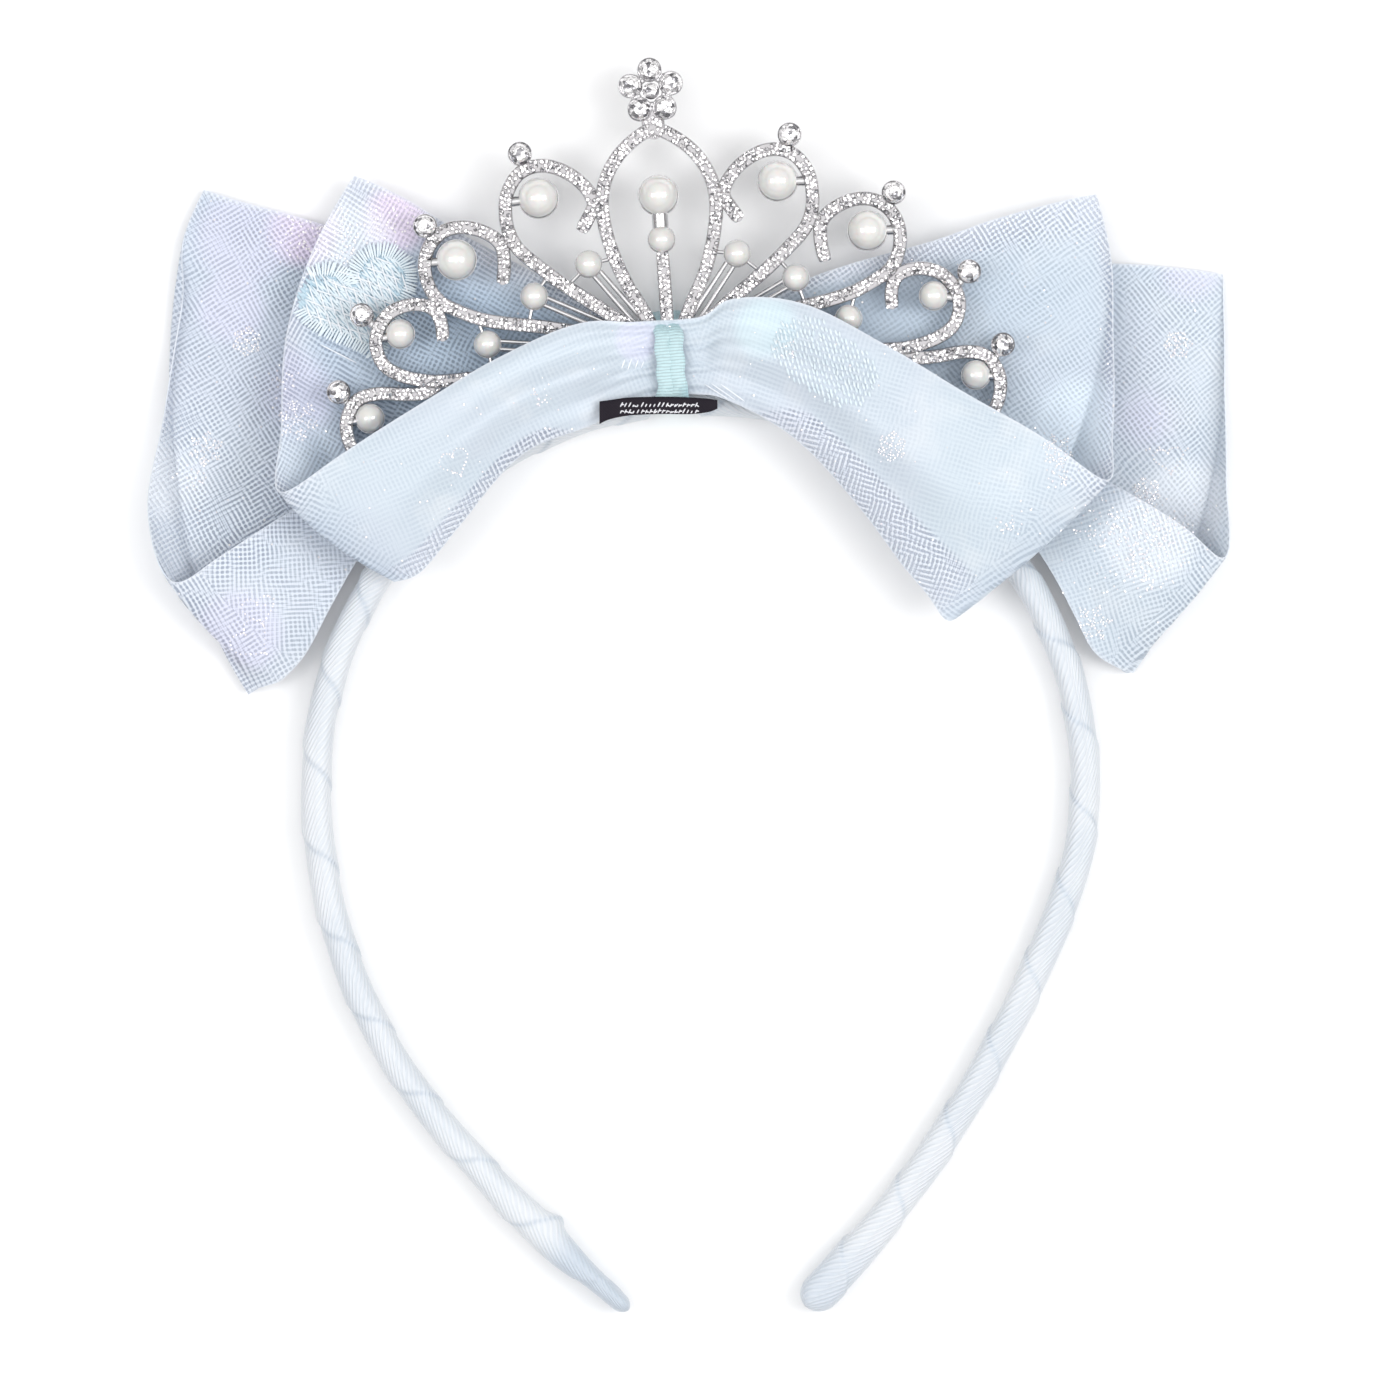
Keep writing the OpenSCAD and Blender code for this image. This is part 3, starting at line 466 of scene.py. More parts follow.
def turned(name, profile, segments=32):
    """A circle primitive extruded ring by ring up a profile of (radius, height) in mm, at the origin.
    It is closed at both ends."""
    r0, z0 = profile[0]
    bpy.ops.object.select_all(action="DESELECT")
    bpy.ops.mesh.primitive_circle_add(vertices=segments, radius=r0 * MM, location=(0, 0, z0 * MM),
                                      fill_type="NGON")
    obj = named(name)
    only(obj)
    bpy.ops.object.transform_apply(location=True)
    bpy.ops.object.mode_set(mode="EDIT")
    bpy.ops.mesh.select_all(action="SELECT")
    last_r, last_z = r0, z0
    for r, z in profile[1:]:
        bpy.ops.mesh.extrude_region_move(TRANSFORM_OT_translate={"value": (0, 0, (z - last_z) * MM)})
        grow = r / last_r
        bpy.ops.transform.resize(value=(grow, grow, 1), center_override=(0, 0, z * MM))
        last_r, last_z = r, z
    bpy.ops.mesh.select_all(action="SELECT")
    bpy.ops.mesh.normals_make_consistent(inside=False)
    bpy.ops.object.mode_set(mode="OBJECT")
    return obj


def turned_by(angle, scale=1.0, tilt=(0.0, 0.0)):
    """A matrix that turns about Z, scales, and then tilts by small slopes."""
    c, s = math.cos(angle), math.sin(angle)
    turn = np.array([[c, -s, 0], [s, c, 0], [0, 0, 1]])
    return np.array([[1, 0, tilt[0]], [0, 1, tilt[1]], [-tilt[0], -tilt[1], 1]]) @ turn * scale


def scattered(rng, count, turn, low, high, lean):
    """Matrices that turn copies by up to turn, scale them between low and high and lean them."""
    turns, grown = rng.uniform(0, turn, count), rng.uniform(low, high, count)
    return [turned_by(*shape) for shape in zip(turns, grown, rng.normal(0, lean, (count, 2)))]


def copies(name, source, places, shapes=None):
    """One mesh of copies of source at hoop-centred places, each shaped by a matrix. The source goes."""
    corners = mesh_numbers(source.data.vertices, "co", each=3).reshape(-1, 3)
    n = len(corners)
    faces = [tuple(p.vertices) for p in source.data.polygons]
    places = in_frame(places)
    shapes = [np.eye(3)] * len(places) if shapes is None else shapes
    verts = [corners @ m.T + p for m, p in zip(shapes, places)]
    polys = [tuple(v + i * n for v in f) for i in range(len(places)) for f in faces]
    mesh = bpy.data.meshes.new(name)
    mesh.from_pydata(np.concatenate(verts).tolist(), [], polys)
    mesh.update()
    obj = bpy.data.objects.new(name, mesh)
    bpy.context.scene.collection.objects.link(obj)
    bpy.data.objects.remove(source)
    return obj


def joined(name, parts):
    """One object of several. It keeps the first one's material slots."""
    bpy.ops.object.select_all(action="DESELECT")
    for p in parts:
        p.select_set(True)
    bpy.context.view_layer.objects.active = parts[0]
    bpy.ops.object.join()
    return named(name)


def apply_modifiers(obj):
    only(obj)
    for m in list(obj.modifiers):
        bpy.ops.object.modifier_apply(modifier=m.name)
    return obj


def finished(obj, material, slot, *nodes):
    """Gives a piece its material and its body, and hides the CAD nodes that it stands for.
    slot is not used.
    """
    obj.data.materials.clear()
    obj.data.materials.append(material)
    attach(obj, BODY)
    if nodes:
        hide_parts(*nodes)
    return obj


# Materials
class Nodes:
    """Short ways to add shader nodes to one material."""

    def __init__(self, name):
        self.material = bpy.data.materials.new(name)
        self.material.use_nodes = True
        self.tree = self.material.node_tree
        self.shader = next(n for n in self.tree.nodes if n.type == "BSDF_PRINCIPLED")

    def new(self, kind, **values):
        node = self.tree.nodes.new(kind)
        for k, v in values.items():
            setattr(node, k, v)
        return node

    def link(self, a, b):
        self.tree.links.new(a, b)

    def put(self, socket, value):
        """Links an output to a socket, or sets a constant on it."""
        if isinstance(value, bpy.types.NodeSocket):
            self.link(value, socket)
        else:
            socket.default_value = value

    def math(self, operation, a, b=0.0, c=0.0):
        node = self.new("ShaderNodeMath", operation=operation)
        for socket, value in zip(node.inputs, (a, b, c)):
            self.put(socket, value)
        return node.outputs[0]

    def plus(self, a, b):
        return self.math("ADD", a, b)

    def times(self, a, b):
        return self.math("MULTIPLY", a, b)

    def sine(self, value, rate):
        return self.math("SINE", self.times(value, rate))

    def over(self, a, b):
        """b laid over a, where both are 0 to 1."""
        return self.plus(a, self.times(self.math("SUBTRACT", 1.0, a), b))

    def mix(self, factor, a, b):
        node = self.new("ShaderNodeMix", data_type="RGBA")
        self.put(node.inputs["Factor"], factor)
        self.put(node.inputs[6], a)
        self.put(node.inputs[7], b)
        return node.outputs[2]

    def step(self, value, low, high, to_low=0.0, to_high=1.0):
        """A smooth rise from to_low, where value is low, to to_high, where it is high."""
        node = self.new("ShaderNodeMapRange", interpolation_type="SMOOTHSTEP")
        for socket, v in zip(node.inputs, (value, low, high, to_low, to_high)):
            self.put(socket, v)
        return node.outputs[0]

    def object_place(self):
        return self.new("ShaderNodeTexCoord").outputs["Object"]

    def uv(self):
        """The UV map, which holds metres along and across the cloth, as two sockets."""
        return self.parts(self.new("ShaderNodeUVMap").outputs[0])[:2]

    def attribute(self, name):
        """A number that the mesh holds at its points."""
        return self.new("ShaderNodeAttribute", attribute_name=name).outputs["Fac"]

    def noise(self, scale, detail=2.0, output=0):
        """Noise with about scale features a metre."""
        node = self.new("ShaderNodeTexNoise")
        node.inputs["Scale"].default_value = scale
        node.inputs["Detail"].default_value = detail
        self.link(self.object_place(), node.inputs["Vector"])
        return node.outputs[output]

    def parts(self, vector):
        """The three numbers of a vector or colour."""
        split = self.new("ShaderNodeSeparateXYZ")
        self.link(vector, split.inputs[0])
        return split.outputs

    def bump(self, height, distance, strength=1.0):
        node = self.new("ShaderNodeBump")
        node.inputs["Strength"].default_value = strength
        node.inputs["Distance"].default_value = distance
        self.link(height, node.inputs["Height"])
        self.link(node.outputs[0], self.shader.inputs["Normal"])

    def set(self, base=None, **values):
        """Sets the shader's base colour, and other inputs by their names."""
        if base is not None:
            self.put(self.shader.inputs["Base Color"], base)
        for name, value in values.items():
            self.put(self.shader.inputs[name.replace("_", " ")], value)


def colour(r, g, b):
    """An sRGB colour of 0..255 as linear light."""
    def line(c):
        c /= 255
        return c / 12.92 if c <= 0.04045 else ((c + 0.055) / 1.055) ** 2.4
    return (line(r), line(g), line(b), 1.0)


# The net's two layers: how the second one's pitch and turn differ, and how far it slips, in m
SECOND_PITCH, SECOND_TURN, SLIP = 1.05, math.radians(9), 0.004
# How much the first family of a layer's threads shows, and what both families add up to
LEAN_LOW, LEAN_HIGH, BOTH_FAMILIES = 0.48, 0.92, 1.35


def net_threads(n, u, v, pitch, turn, lean):
    """The two families of one layer's threads, which cross squarely, added up."""
    c, d = math.cos(turn), math.sin(turn)
    x = n.plus(n.times(u, c), n.times(v, d))
    y = n.math("SUBTRACT", n.times(v, c), n.times(u, d))
    waves = math.pi / pitch / math.sqrt(2)
    first, second = [n.step(n.math("ABSOLUTE", n.sine(n.math(way, x, y), waves)), 0.25, 0.90, 1.0, 0.0)
                     for way in ("ADD", "SUBTRACT")]
    return n.math("MULTIPLY_ADD", second, n.math("SUBTRACT", BOTH_FAMILIES, lean), n.times(first, lean))


def net_material(name, c, pitch, clear):
    """Two layers of fine net that lie together, a little turned: their threads run in and out of step."""
    n = Nodes(name)
    u, v = n.uv()
    slips = n.parts(n.noise(75, 2, "Color"))
    front = net_threads(n, u, v, pitch, 0, n.step(n.noise(180, 1), 0.40, 0.60, LEAN_LOW, LEAN_HIGH))
    slipped = [n.math("MULTIPLY_ADD", slip, SLIP, at) for slip, at in zip(slips, (u, v))]
    behind = net_threads(n, *slipped, pitch * SECOND_PITCH, SECOND_TURN,
                         n.step(n.noise(125, 1), 0.42, 0.58, LEAN_HIGH, LEAN_LOW))
    cover, painted_shade, selvage = (n.attribute(held) for held in ("cover", "painted_shade", "selvage"))
    weave = n.step(n.plus(front, n.times(behind, 0.9)), 0.15, 1.75)
    weave = n.over(weave, n.times(n.step(n.noise(60), 0.38, 0.62), 0.3))
    weave = n.over(weave, n.times(cover, 0.78))
    cloud = n.step(n.noise(34), 0.42, 0.70)
    # Painted highlight: pale mottled patches on the doubled net stand in for light on its crumples
    painted_highlight = n.times(n.step(n.noise(130, 4), 0.50, 0.72), n.times(cover, 0.4))
    # The weave is the net's own pattern; the blue-grey in its holes is a painted shade for what shows
    # through
    base = n.mix(weave, tuple(c.net_hole), tuple(c.net_thread))
    # Where the net lies doubled, its holes show the painted shade colour
    base = n.mix(n.times(cover, 0.85), base, n.mix(weave, tuple(c.net_painted_shade), tuple(c.net_doubled)))
    base = n.mix(n.times(cloud, 0.25), base, tuple(c.net_tint))
    base = n.mix(painted_highlight, base, colour(226, 230, 234))
    # Painted shade: darker blue on the back panels, strongest near the knot
    base = n.mix(n.times(painted_shade, 0.85), base, tuple(c.net_painted_shade))
    # Iridescent spots, and painted light that lifts shaded folds
    for spot, radius, shade in NET_SPOTS:
        away = n.new("ShaderNodeVectorMath", operation="DISTANCE")
        n.link(n.object_place(), away.inputs[0])
        away.inputs[1].default_value = in_frame(spot)
        near = n.step(away.outputs["Value"], radius * MM * 0.6, radius * MM, 0.55, 0.0)
        base = n.mix(near, base, shade)
    base = n.mix(n.times(selvage, 0.7), base, tuple(c.net_thread))
    n.set(base, Roughness=0.40, Sheen_Weight=0.15, Sheen_Roughness=0.4, Specular_IOR_Level=0.45,
          Alpha=n.math("MAXIMUM", n.step(weave, 0.0, 1.0, 1.0 - clear, 1.0), selvage))
    crease = n.step(n.noise(95, 3), 0.3, 0.7)
    crinkle = n.times(n.noise(330, 3), 0.5)
    n.bump(n.plus(n.times(weave, 0.4), n.plus(crease, crinkle)), 0.0002, 0.5)
    return n.material


def wrap_material(name, light, shade, pitch=0.0005, slant=math.radians(22)):
    """Satin grosgrain: fine ribs at a slant across the ribbon, and a painted shade in its laps and tips."""
    n = Nodes(name)
    u, v = n.uv()
    waves = 2 * math.pi / pitch
    slanted = n.math("SUBTRACT", n.times(u, math.sin(slant) * waves), n.times(v, math.cos(slant) * waves))
    ribs = n.step(n.math("SINE", slanted), -1, 1)
    cloud = n.step(n.noise(75, 3), 0.35, 0.65)
    base = n.mix(n.times(n.plus(ribs, cloud), 0.5), shade, light)
    # Painted shade: a dark line where the ribbon laps over its last turn, and darker tips
    base = n.mix(n.times(n.attribute("painted_seam_shade"), 0.6), base, colour(176, 190, 206))
    n.set(base, Roughness=n.step(cloud, 0, 1, 0.30, 0.42), Sheen_Weight=0.2, Sheen_Roughness=0.35,
          Specular_IOR_Level=0.6)
    n.bump(n.plus(ribs, n.times(cloud, 0.6)), 0.00012, 0.7)
    return n.material


def knot_material(name, light, pitch):
    """Grosgrain with ribs along the ribbon, darker between them, and a painted shade in the knot's gathers.
    """
    n = Nodes(name)
    u, v = n.uv()
    dark = tuple(0.55 * part for part in light[:3]) + (1,)
    ribs = n.math("ABSOLUTE", n.sine(u, math.pi / pitch))
    base = n.mix(n.math("POWER", ribs, 0.6), dark, light)
    # Painted shade: darker teal where the held shade is high
    base = n.mix(n.times(n.attribute("shade"), 0.55), base, colour(112, 158, 172))
    n.set(base, Roughness=0.42, Sheen_Weight=0.3)
    n.bump(n.sine(v, 22000), 0.00004, 0.4)
    return n.material


def thread_material(name, light, dark):
    n = Nodes(name)
    fine = n.noise(900)
    n.set(n.mix(fine, dark, light), Roughness=0.34, Sheen_Weight=0.3)
    n.bump(fine, 0.00006, 0.5)
    return n.material


def glitter_material(name):
    n = Nodes(name)
    speck = n.step(n.noise(2200, 1), 0.4, 0.62)
    n.set(n.mix(speck, colour(243, 238, 243), colour(255, 253, 251)), Metallic=0.25, Roughness=0.18,
          Coat_Weight=0.5, Coat_Roughness=0.05)
    return n.material


def metal_material(name):
    n = Nodes(name)
    fine = n.noise(700, 3)
    plate = n.mix(fine, colour(187, 186, 188), colour(229, 228, 229))
    # Painted shade: the sunk bed between the small stones is darker grey
    n.set(n.mix(n.attribute("bed"), plate, colour(172, 170, 172)), Metallic=1.0,
          Roughness=n.step(fine, 0.3, 0.7, 0.16, 0.28))
    n.bump(n.noise(260), 0.00005, 0.35)
    return n.material


def stone_material(name, grain, dark_share, facet):
    """Foil-backed clear stones with painted sparkle: light shards broken by dark ones, in place of the
    facets' flashes. grain is the shards a metre and facet how far they stand apart."""
    n = Nodes(name)
    shards = n.new("ShaderNodeTexVoronoi")
    shards.inputs["Scale"].default_value = grain
    n.link(n.object_place(), shards.inputs["Vector"])
    painted_sparkle = n.step(n.parts(shards.outputs["Color"])[0], dark_share - 0.12, dark_share + 0.2)
    n.set(n.mix(painted_sparkle, colour(130, 129, 133), colour(253, 251, 252)), Metallic=0.85, Roughness=0.08,
          Coat_Weight=0.6, Coat_Roughness=0.03)
    n.bump(shards.outputs["Distance"], 0.00025, facet)
    return n.material


def pearl_material(name):
    n = Nodes(name)
    n.set(n.mix(n.noise(420), colour(214, 213, 209), colour(225, 224, 221)), Roughness=0.35,
          Specular_IOR_Level=0.4, Coat_Weight=1.0, Coat_Roughness=0.05, Coat_IOR=2.2, Sheen_Weight=0.6,
          Sheen_Roughness=0.3, Subsurface_Weight=0.25, Subsurface_Scale=0.001)
    n.bump(n.noise(900), 0.00001, 0.2)
    return n.material


def label_material(name):
    n = Nodes(name)
    weave = n.times(*(n.sine(way, 16000) for way in n.uv()))
    n.set(n.mix(n.step(weave, -1, 1), colour(12, 8, 16), colour(30, 20, 36)), Roughness=0.6,
          Specular_IOR_Level=0.25)
    n.bump(weave, 0.00005, 0.5)
    return n.material


def paper_material(name):
    n = Nodes(name)
    n.set(n.mix(n.noise(3), colour(248, 248, 249), colour(252, 252, 252)), Roughness=0.9)
    return n.material


# Sizes that a user would change
class HeadbandSizes(bpy.types.PropertyGroup):
    net_pitch: bpy.props.FloatProperty(
        name="Net pitch", description="Distance between two threads of the net",
        default=0.00068, unit="LENGTH")
    net_clear: bpy.props.FloatProperty(
        name="Net clearness", description="How far the net's holes let light through",
        default=0.7, min=0, max=1, subtype="FACTOR")
    gather_depth: bpy.props.FloatProperty(
        name="Gather depth", description="Depth of the gathers beside the knot, in mm", default=0.28)
    stone_pitch: bpy.props.FloatProperty(
        name="Pave pitch", description="Distance between small stones along a scroll, in mm", default=0.72)
    rib_pitch: bpy.props.FloatProperty(
        name="Knot rib pitch", description="Distance between the knot's ribs, in mm", default=0.46)
    wrap_pitch: bpy.props.FloatProperty(
        name="Wrap pitch", description="Length of the hoop that one turn of ribbon covers, in mm",
        default=13.0)


class HeadbandColours(bpy.types.PropertyGroup):
    net_thread: bpy.props.FloatVectorProperty(
        name="Net thread", description="Colour of the net's threads",
        size=4, default=colour(223, 228, 236), subtype="COLOR")
    # Painted shade: the darker blue-grey seen in the net's holes
    net_hole: bpy.props.FloatVectorProperty(
        name="Net hole", description="Colour seen in the net's holes",
        size=4, default=colour(168, 183, 207), subtype="COLOR")
    net_doubled: bpy.props.FloatVectorProperty(
        name="Doubled net", description="Colour of the net where it lies doubled",
        size=4, default=colour(199, 211, 220), subtype="COLOR")
    net_tint: bpy.props.FloatVectorProperty(
        name="Net tint", description="Lilac tint that clouds the net",
        size=4, default=colour(210, 210, 226), subtype="COLOR")
    # Painted shade: darkens the back panels near the knot, and shows in the holes of doubled net
    net_painted_shade: bpy.props.FloatVectorProperty(
        name="Deep net", description="Colour of the net where its layers are deep",
        size=4, default=colour(166, 188, 210), subtype="COLOR")
    ribbon: bpy.props.FloatVectorProperty(
        name="Ribbon", description="Colour of the hoop's ribbon",
        size=4, default=colour(224, 227, 231), subtype="COLOR")
    ribbon_shade: bpy.props.FloatVectorProperty(
        name="Ribbon shade", description="Colour between the hoop ribbon's ribs",
        size=4, default=colour(205, 212, 220), subtype="COLOR")
    knot: bpy.props.FloatVectorProperty(
        name="Knot", description="Colour of the knot's ribbon",
        size=4, default=colour(196, 224, 229), subtype="COLOR")


def sizes():
    return bpy.context.scene.headband_sizes


def colours():
    return bpy.context.scene.headband_colours


# Bows
def loop_rows(rows, side, reach, layers):
    """A loop's sections in mm, each with the layer that it is in."""
    scale = np.array([reach * side, RIBBON_W, LOOP_DEPTH] * 2 + [reach * side, LOOP_DEPTH, LOOP_DEPTH])
    out = []
    for layer, *shares in rows:
        section = scale * shares
        section[[2, 5]] += layers[layer]
        out.append([*section, layer])
    return out


def bow_rows(left, right, low, layers):
    """A whole bow: back of the knot, left loop, front of the knot, right loop."""
    def waist(along, low_edge, z, layer):
        return [along, WAIST_HIGH, z, along, low_edge, z, 0, 0, 0, layer]
    back = [waist(s * WAIST_HALF, WAIST_LOW, layers[0], 0) for s in (1, -1)]
    front = [waist(s * WAIST_HALF, low, layers[1], 1) for s in (-1, 1)]
    return back + left + front + right[::-1]


def net_surface(rows, tips, gather, seed):
    """The middle of the net, with pleats near the knot and slow ripples further out, which layer each
    point is in, how far along the bow it lies and its share of the way from edge to edge."""
    rings = smooth(rows, LOOP_STEPS, closed=True)
    rings[:, :3] = smooth(rows, LOOP_STEPS, closed=True, corners=tips)[:, :3]
    v = np.linspace(0, 1, NET_POINTS)[None, :]
    low, high = rings[:, None, 0:3], rings[:, None, 3:6]
    bulge = 4 * v * (1 - v)
    p = low + (high - low) * v[..., None]
    p = p + bulge[..., None] * np.stack([rings[:, 6], np.zeros(len(rings)), rings[:, 7]], -1)[:, None]
    p[..., 2] += rings[:, None, 8] * np.cos(4 * math.pi * v) * bulge
    along, above = p[..., 0].copy(), p[..., 1].copy()
    rng = np.random.default_rng(seed)
    phase = rng.uniform(0, 2 * math.pi, 6)
    near = np.exp(-np.maximum(np.abs(along) - 3, 0) / 6.5)
    pleat = np.cos(2 * math.pi * 5.5 * v + phase[0]) + 0.5 * np.cos(2 * math.pi * 9 * v + phase[1])
    p[..., 2] += 0.7 * gather * near * pleat
    far = 1 - np.exp(-np.abs(along) / 25)
    ripple = np.sin(along / 5.3 + above / 9 + phase[2]) * np.sin(above / 6.1 + phase[3])
    crumple = np.sin(along / 2.3 - above / 3.1 + phase[4]) * np.sin(above / 2.7 + along / 4.1 + phase[5])
    p[..., 2] += far * (0.38 * ripple + 0.10 * crumple)
    front = np.clip(rings[:, 9], 0, 1)[:, None] + 0 * v
    return over_hoop(p), front, along, v + 0 * front


def lay_grain(obj, points, front, left_rings, grain):
    """Gives every face metres along and across the net's grain, one grain for the back and one for the
    front of each loop. What the net climbs is added along it, so the pattern isn't stretched on a
    loop's steep end."""
    columns = points.shape[1]
    middle = points[:, columns // 2]
    climb = run(middle) - run(middle[:, :2])
    fore = (front[:, 0] > 0.5).astype(int)
    right = (np.arange(len(points)) >= left_rings).astype(int)
    turn = np.radians(np.array(grain, float)[right, fore])
    corners = mesh_numbers(obj.data.loops, "vertex_index", int).reshape(-1, 4)
    ring = corners.min(1) // columns
    place = points.reshape(-1, 3)[corners]
    u, v = rotated(place[..., 0], place[..., 1], -turn[ring][:, None])
    u += climb[corners // columns] * np.where(fore[ring] == 1, 1, -1)[:, None]
    obj.data.uv_layers[0].data.foreach_set("uv", (np.stack([u, v], -1) * MM).reshape(-1))


# How closely the net lies doubled over a bow, and the painted shade that darkens its back panels near the
# knot
def short_cover(front, along, v):
    """The short bow's front is folded double but for its lower edge."""
    edge = np.where(along > 0, 0.76, 0.87) + 0.3 * fade(np.abs(along), 22, 10)
    folded = front * (1 - fade(v, edge - 0.03, edge + 0.02))
    return np.clip(folded + (1 - front) * np.where(along > 0, 0.68, 0.34) * fade(v, 0.05, 0.2), 0, 1)


# Painted shade on the short bow's back panels: darker near the knot, more on the left than the right
def short_painted_shade(front, along, v):
    shaded = np.where(along < 0, 0.42, 0.20) + 0.45 * fade(np.abs(along), 52, 20)
    return (1 - front) * shaded * fade(v, 0.0, 0.35)


def long_cover(front, along, v):
    return np.where(along > 0, 0.55, 0.22) + 0.25 * front * fade(v, 0.0, 0.3)


# Painted shade on the long bow's back panels, darker near the knot
def long_painted_shade(front, along, v):
    return (1 - front) * 0.33 * fade(np.abs(along), 58, 38)


def hold(obj, name, values):
    """Keeps a number at each point of a mesh, for its material."""
    layer = obj.data.attributes.new(name, "FLOAT", "POINT")
    layer.data.foreach_set("value", np.ascontiguousarray(values, float).reshape(-1))


def thickened(obj, thickness, offset):
    """Gives a sheet its thickness in mm, to both sides (0) or inwards (-1)."""
    wall = obj.modifiers.new("thickness", "SOLIDIFY")
    wall.thickness, wall.offset = thickness * MM, offset
    return apply_modifiers(obj)


def net_bow(node, rows, tips, left_rows, material, seed, cover, painted_shade):
    """Models one bow's net. Gives it with its greatest width and its length, in m."""
    parts = net_surface(rows, tips, sizes().gather_depth, seed)
    points, front, along, v = (np.concatenate([part, part[:1]]) for part in parts)
    obj = grid(node + "_net", points)
    lay_grain(obj, points, front, left_rows * LOOP_STEPS, GRAIN[node])
    hold(obj, "cover", cover(front, along, v))
    hold(obj, "painted_shade", painted_shade(front, along, v))
    width = np.linalg.norm(np.diff(points, axis=1), axis=2).sum(1)
    hold(obj, "selvage", np.clip(1 - np.minimum(v, 1 - v) * width[:, None] / SELVAGE_W, 0, 1))
    length = run(points[:, NET_POINTS // 2])[-1]
    thickened(merged(obj), NET_T, 0)
    finished(smooth_shaded(obj, 60), material, "net", node)
    return obj, width.max() * MM, length * MM


# Operators
class PieceOperator:
    """What every piece's operator shares."""
    bl_options = {"REGISTER", "UNDO"}


class HEADBAND_OT_stage(PieceOperator, bpy.types.Operator):
    """Adds the pale floor, the soft lights and the camera that looks straight down"""
    bl_idname = "headband.stage"
    bl_label = "Stage"

    def execute(self, context):
        scene = context.scene
        scene.view_settings.view_transform = "Standard"
        bpy.ops.object.select_all(action="DESELECT")
        bpy.ops.mesh.primitive_plane_add(size=FLOOR_W, location=(0, 0, FLOOR_Z))
        floor = named("floor")
        bpy.ops.object.transform_apply(location=True)
        floor.data.materials.append(paper_material("floor_paper"))

        above = Vector(in_frame(TARGET)) + Vector((0, 0, CAMERA_UP))
        bpy.ops.object.camera_add(location=above, rotation=(0, 0, 0))
        camera = context.object
        camera.name = "camera"
        camera.data.sensor_width = SENSOR
        camera.data.lens = SENSOR * CAMERA_UP / SEEN
        camera.data.clip_start, camera.data.clip_end = 0.1, 20
        scene.camera = camera

        for name, place, size, power in SOFTBOXES:
            bpy.ops.object.light_add(type="AREA", location=place)
            lamp = context.object
            lamp.name = name
            lamp.data.size, lamp.data.energy = size, power
            lamp.rotation_euler = (-Vector(place)).to_track_quat("-Z", "Y").to_euler()
        world = bpy.data.worlds.new("studio")
        world.use_nodes = True
        scene.world = world
        tree = world.node_tree
        split = tree.nodes.new("ShaderNodeSeparateXYZ")
        tree.links.new(tree.nodes.new("ShaderNodeTexCoord").outputs["Generated"], split.inputs[0])
        ramp = tree.nodes.new("ShaderNodeValToRGB")
        tree.links.new(split.outputs[2], ramp.inputs[0])
        stops = ramp.color_ramp.elements
        brightest = max(b for _, b in SKY)
        for place, b in SKY[1:-1]:
            stops.new(place)
        for stop, (place, b) in zip(stops, SKY):
            stop.position = place
            stop.color = (b / brightest, b / brightest, b / brightest, 1)
        back = tree.nodes["Background"]
        tree.links.new(ramp.outputs[0], back.inputs["Color"])
        back.inputs["Strength"].default_value = brightest
        return {"FINISHED"}


class HEADBAND_OT_bows(PieceOperator, bpy.types.Operator):
    """Models the long and the short net bow"""
    bl_idname = "headband.bows"
    bl_label = "Net bows"

    def execute(self, context):
        s, c = sizes(), colours()
        material = net_material("net", c, s.net_pitch, s.net_clear)
        flatter = [r[:3] + (r[3] * MOUTH_FALL,) + r[4:] for r in LONG_LEFT]
        # Name, left and right sections, the waist's lower edge, how closely the net lies doubled and its
        # painted shade, what it lies on, its seed, and the share of the strip's rectangle that its shaped
        # cut keeps, gathers included
        bows = (("long", flatter, LONG_RIGHT, WAIST_LOW, long_cover, long_painted_shade, "hoop_ribbon", 3, 0.31),
                ("short", SHORT_LEFT, SHORT_RIGHT, -WAIST_LAP, short_cover, short_painted_shade, "long_bow_net",
                 8, 0.42))
        for bow, left, right, low, cover, painted_shade, carrier, seed, cut in bows:
            layers = LAYERS[bow]
            rows = bow_rows(loop_rows(left, -1, REACH[bow + "_left"], layers),
                            loop_rows(right, 1, REACH[bow + "_right"], layers), low, layers)
            # A tip is a loop's fourth section from the knot, at its sharp upper corner
            tips = (2 + 3, len(rows) - 1 - 3)
            obj, width, length = net_bow(bow + "_bow", rows, tips, len(left) + 3, material, seed, cover,
                                         painted_shade)
        return {"FINISHED"}


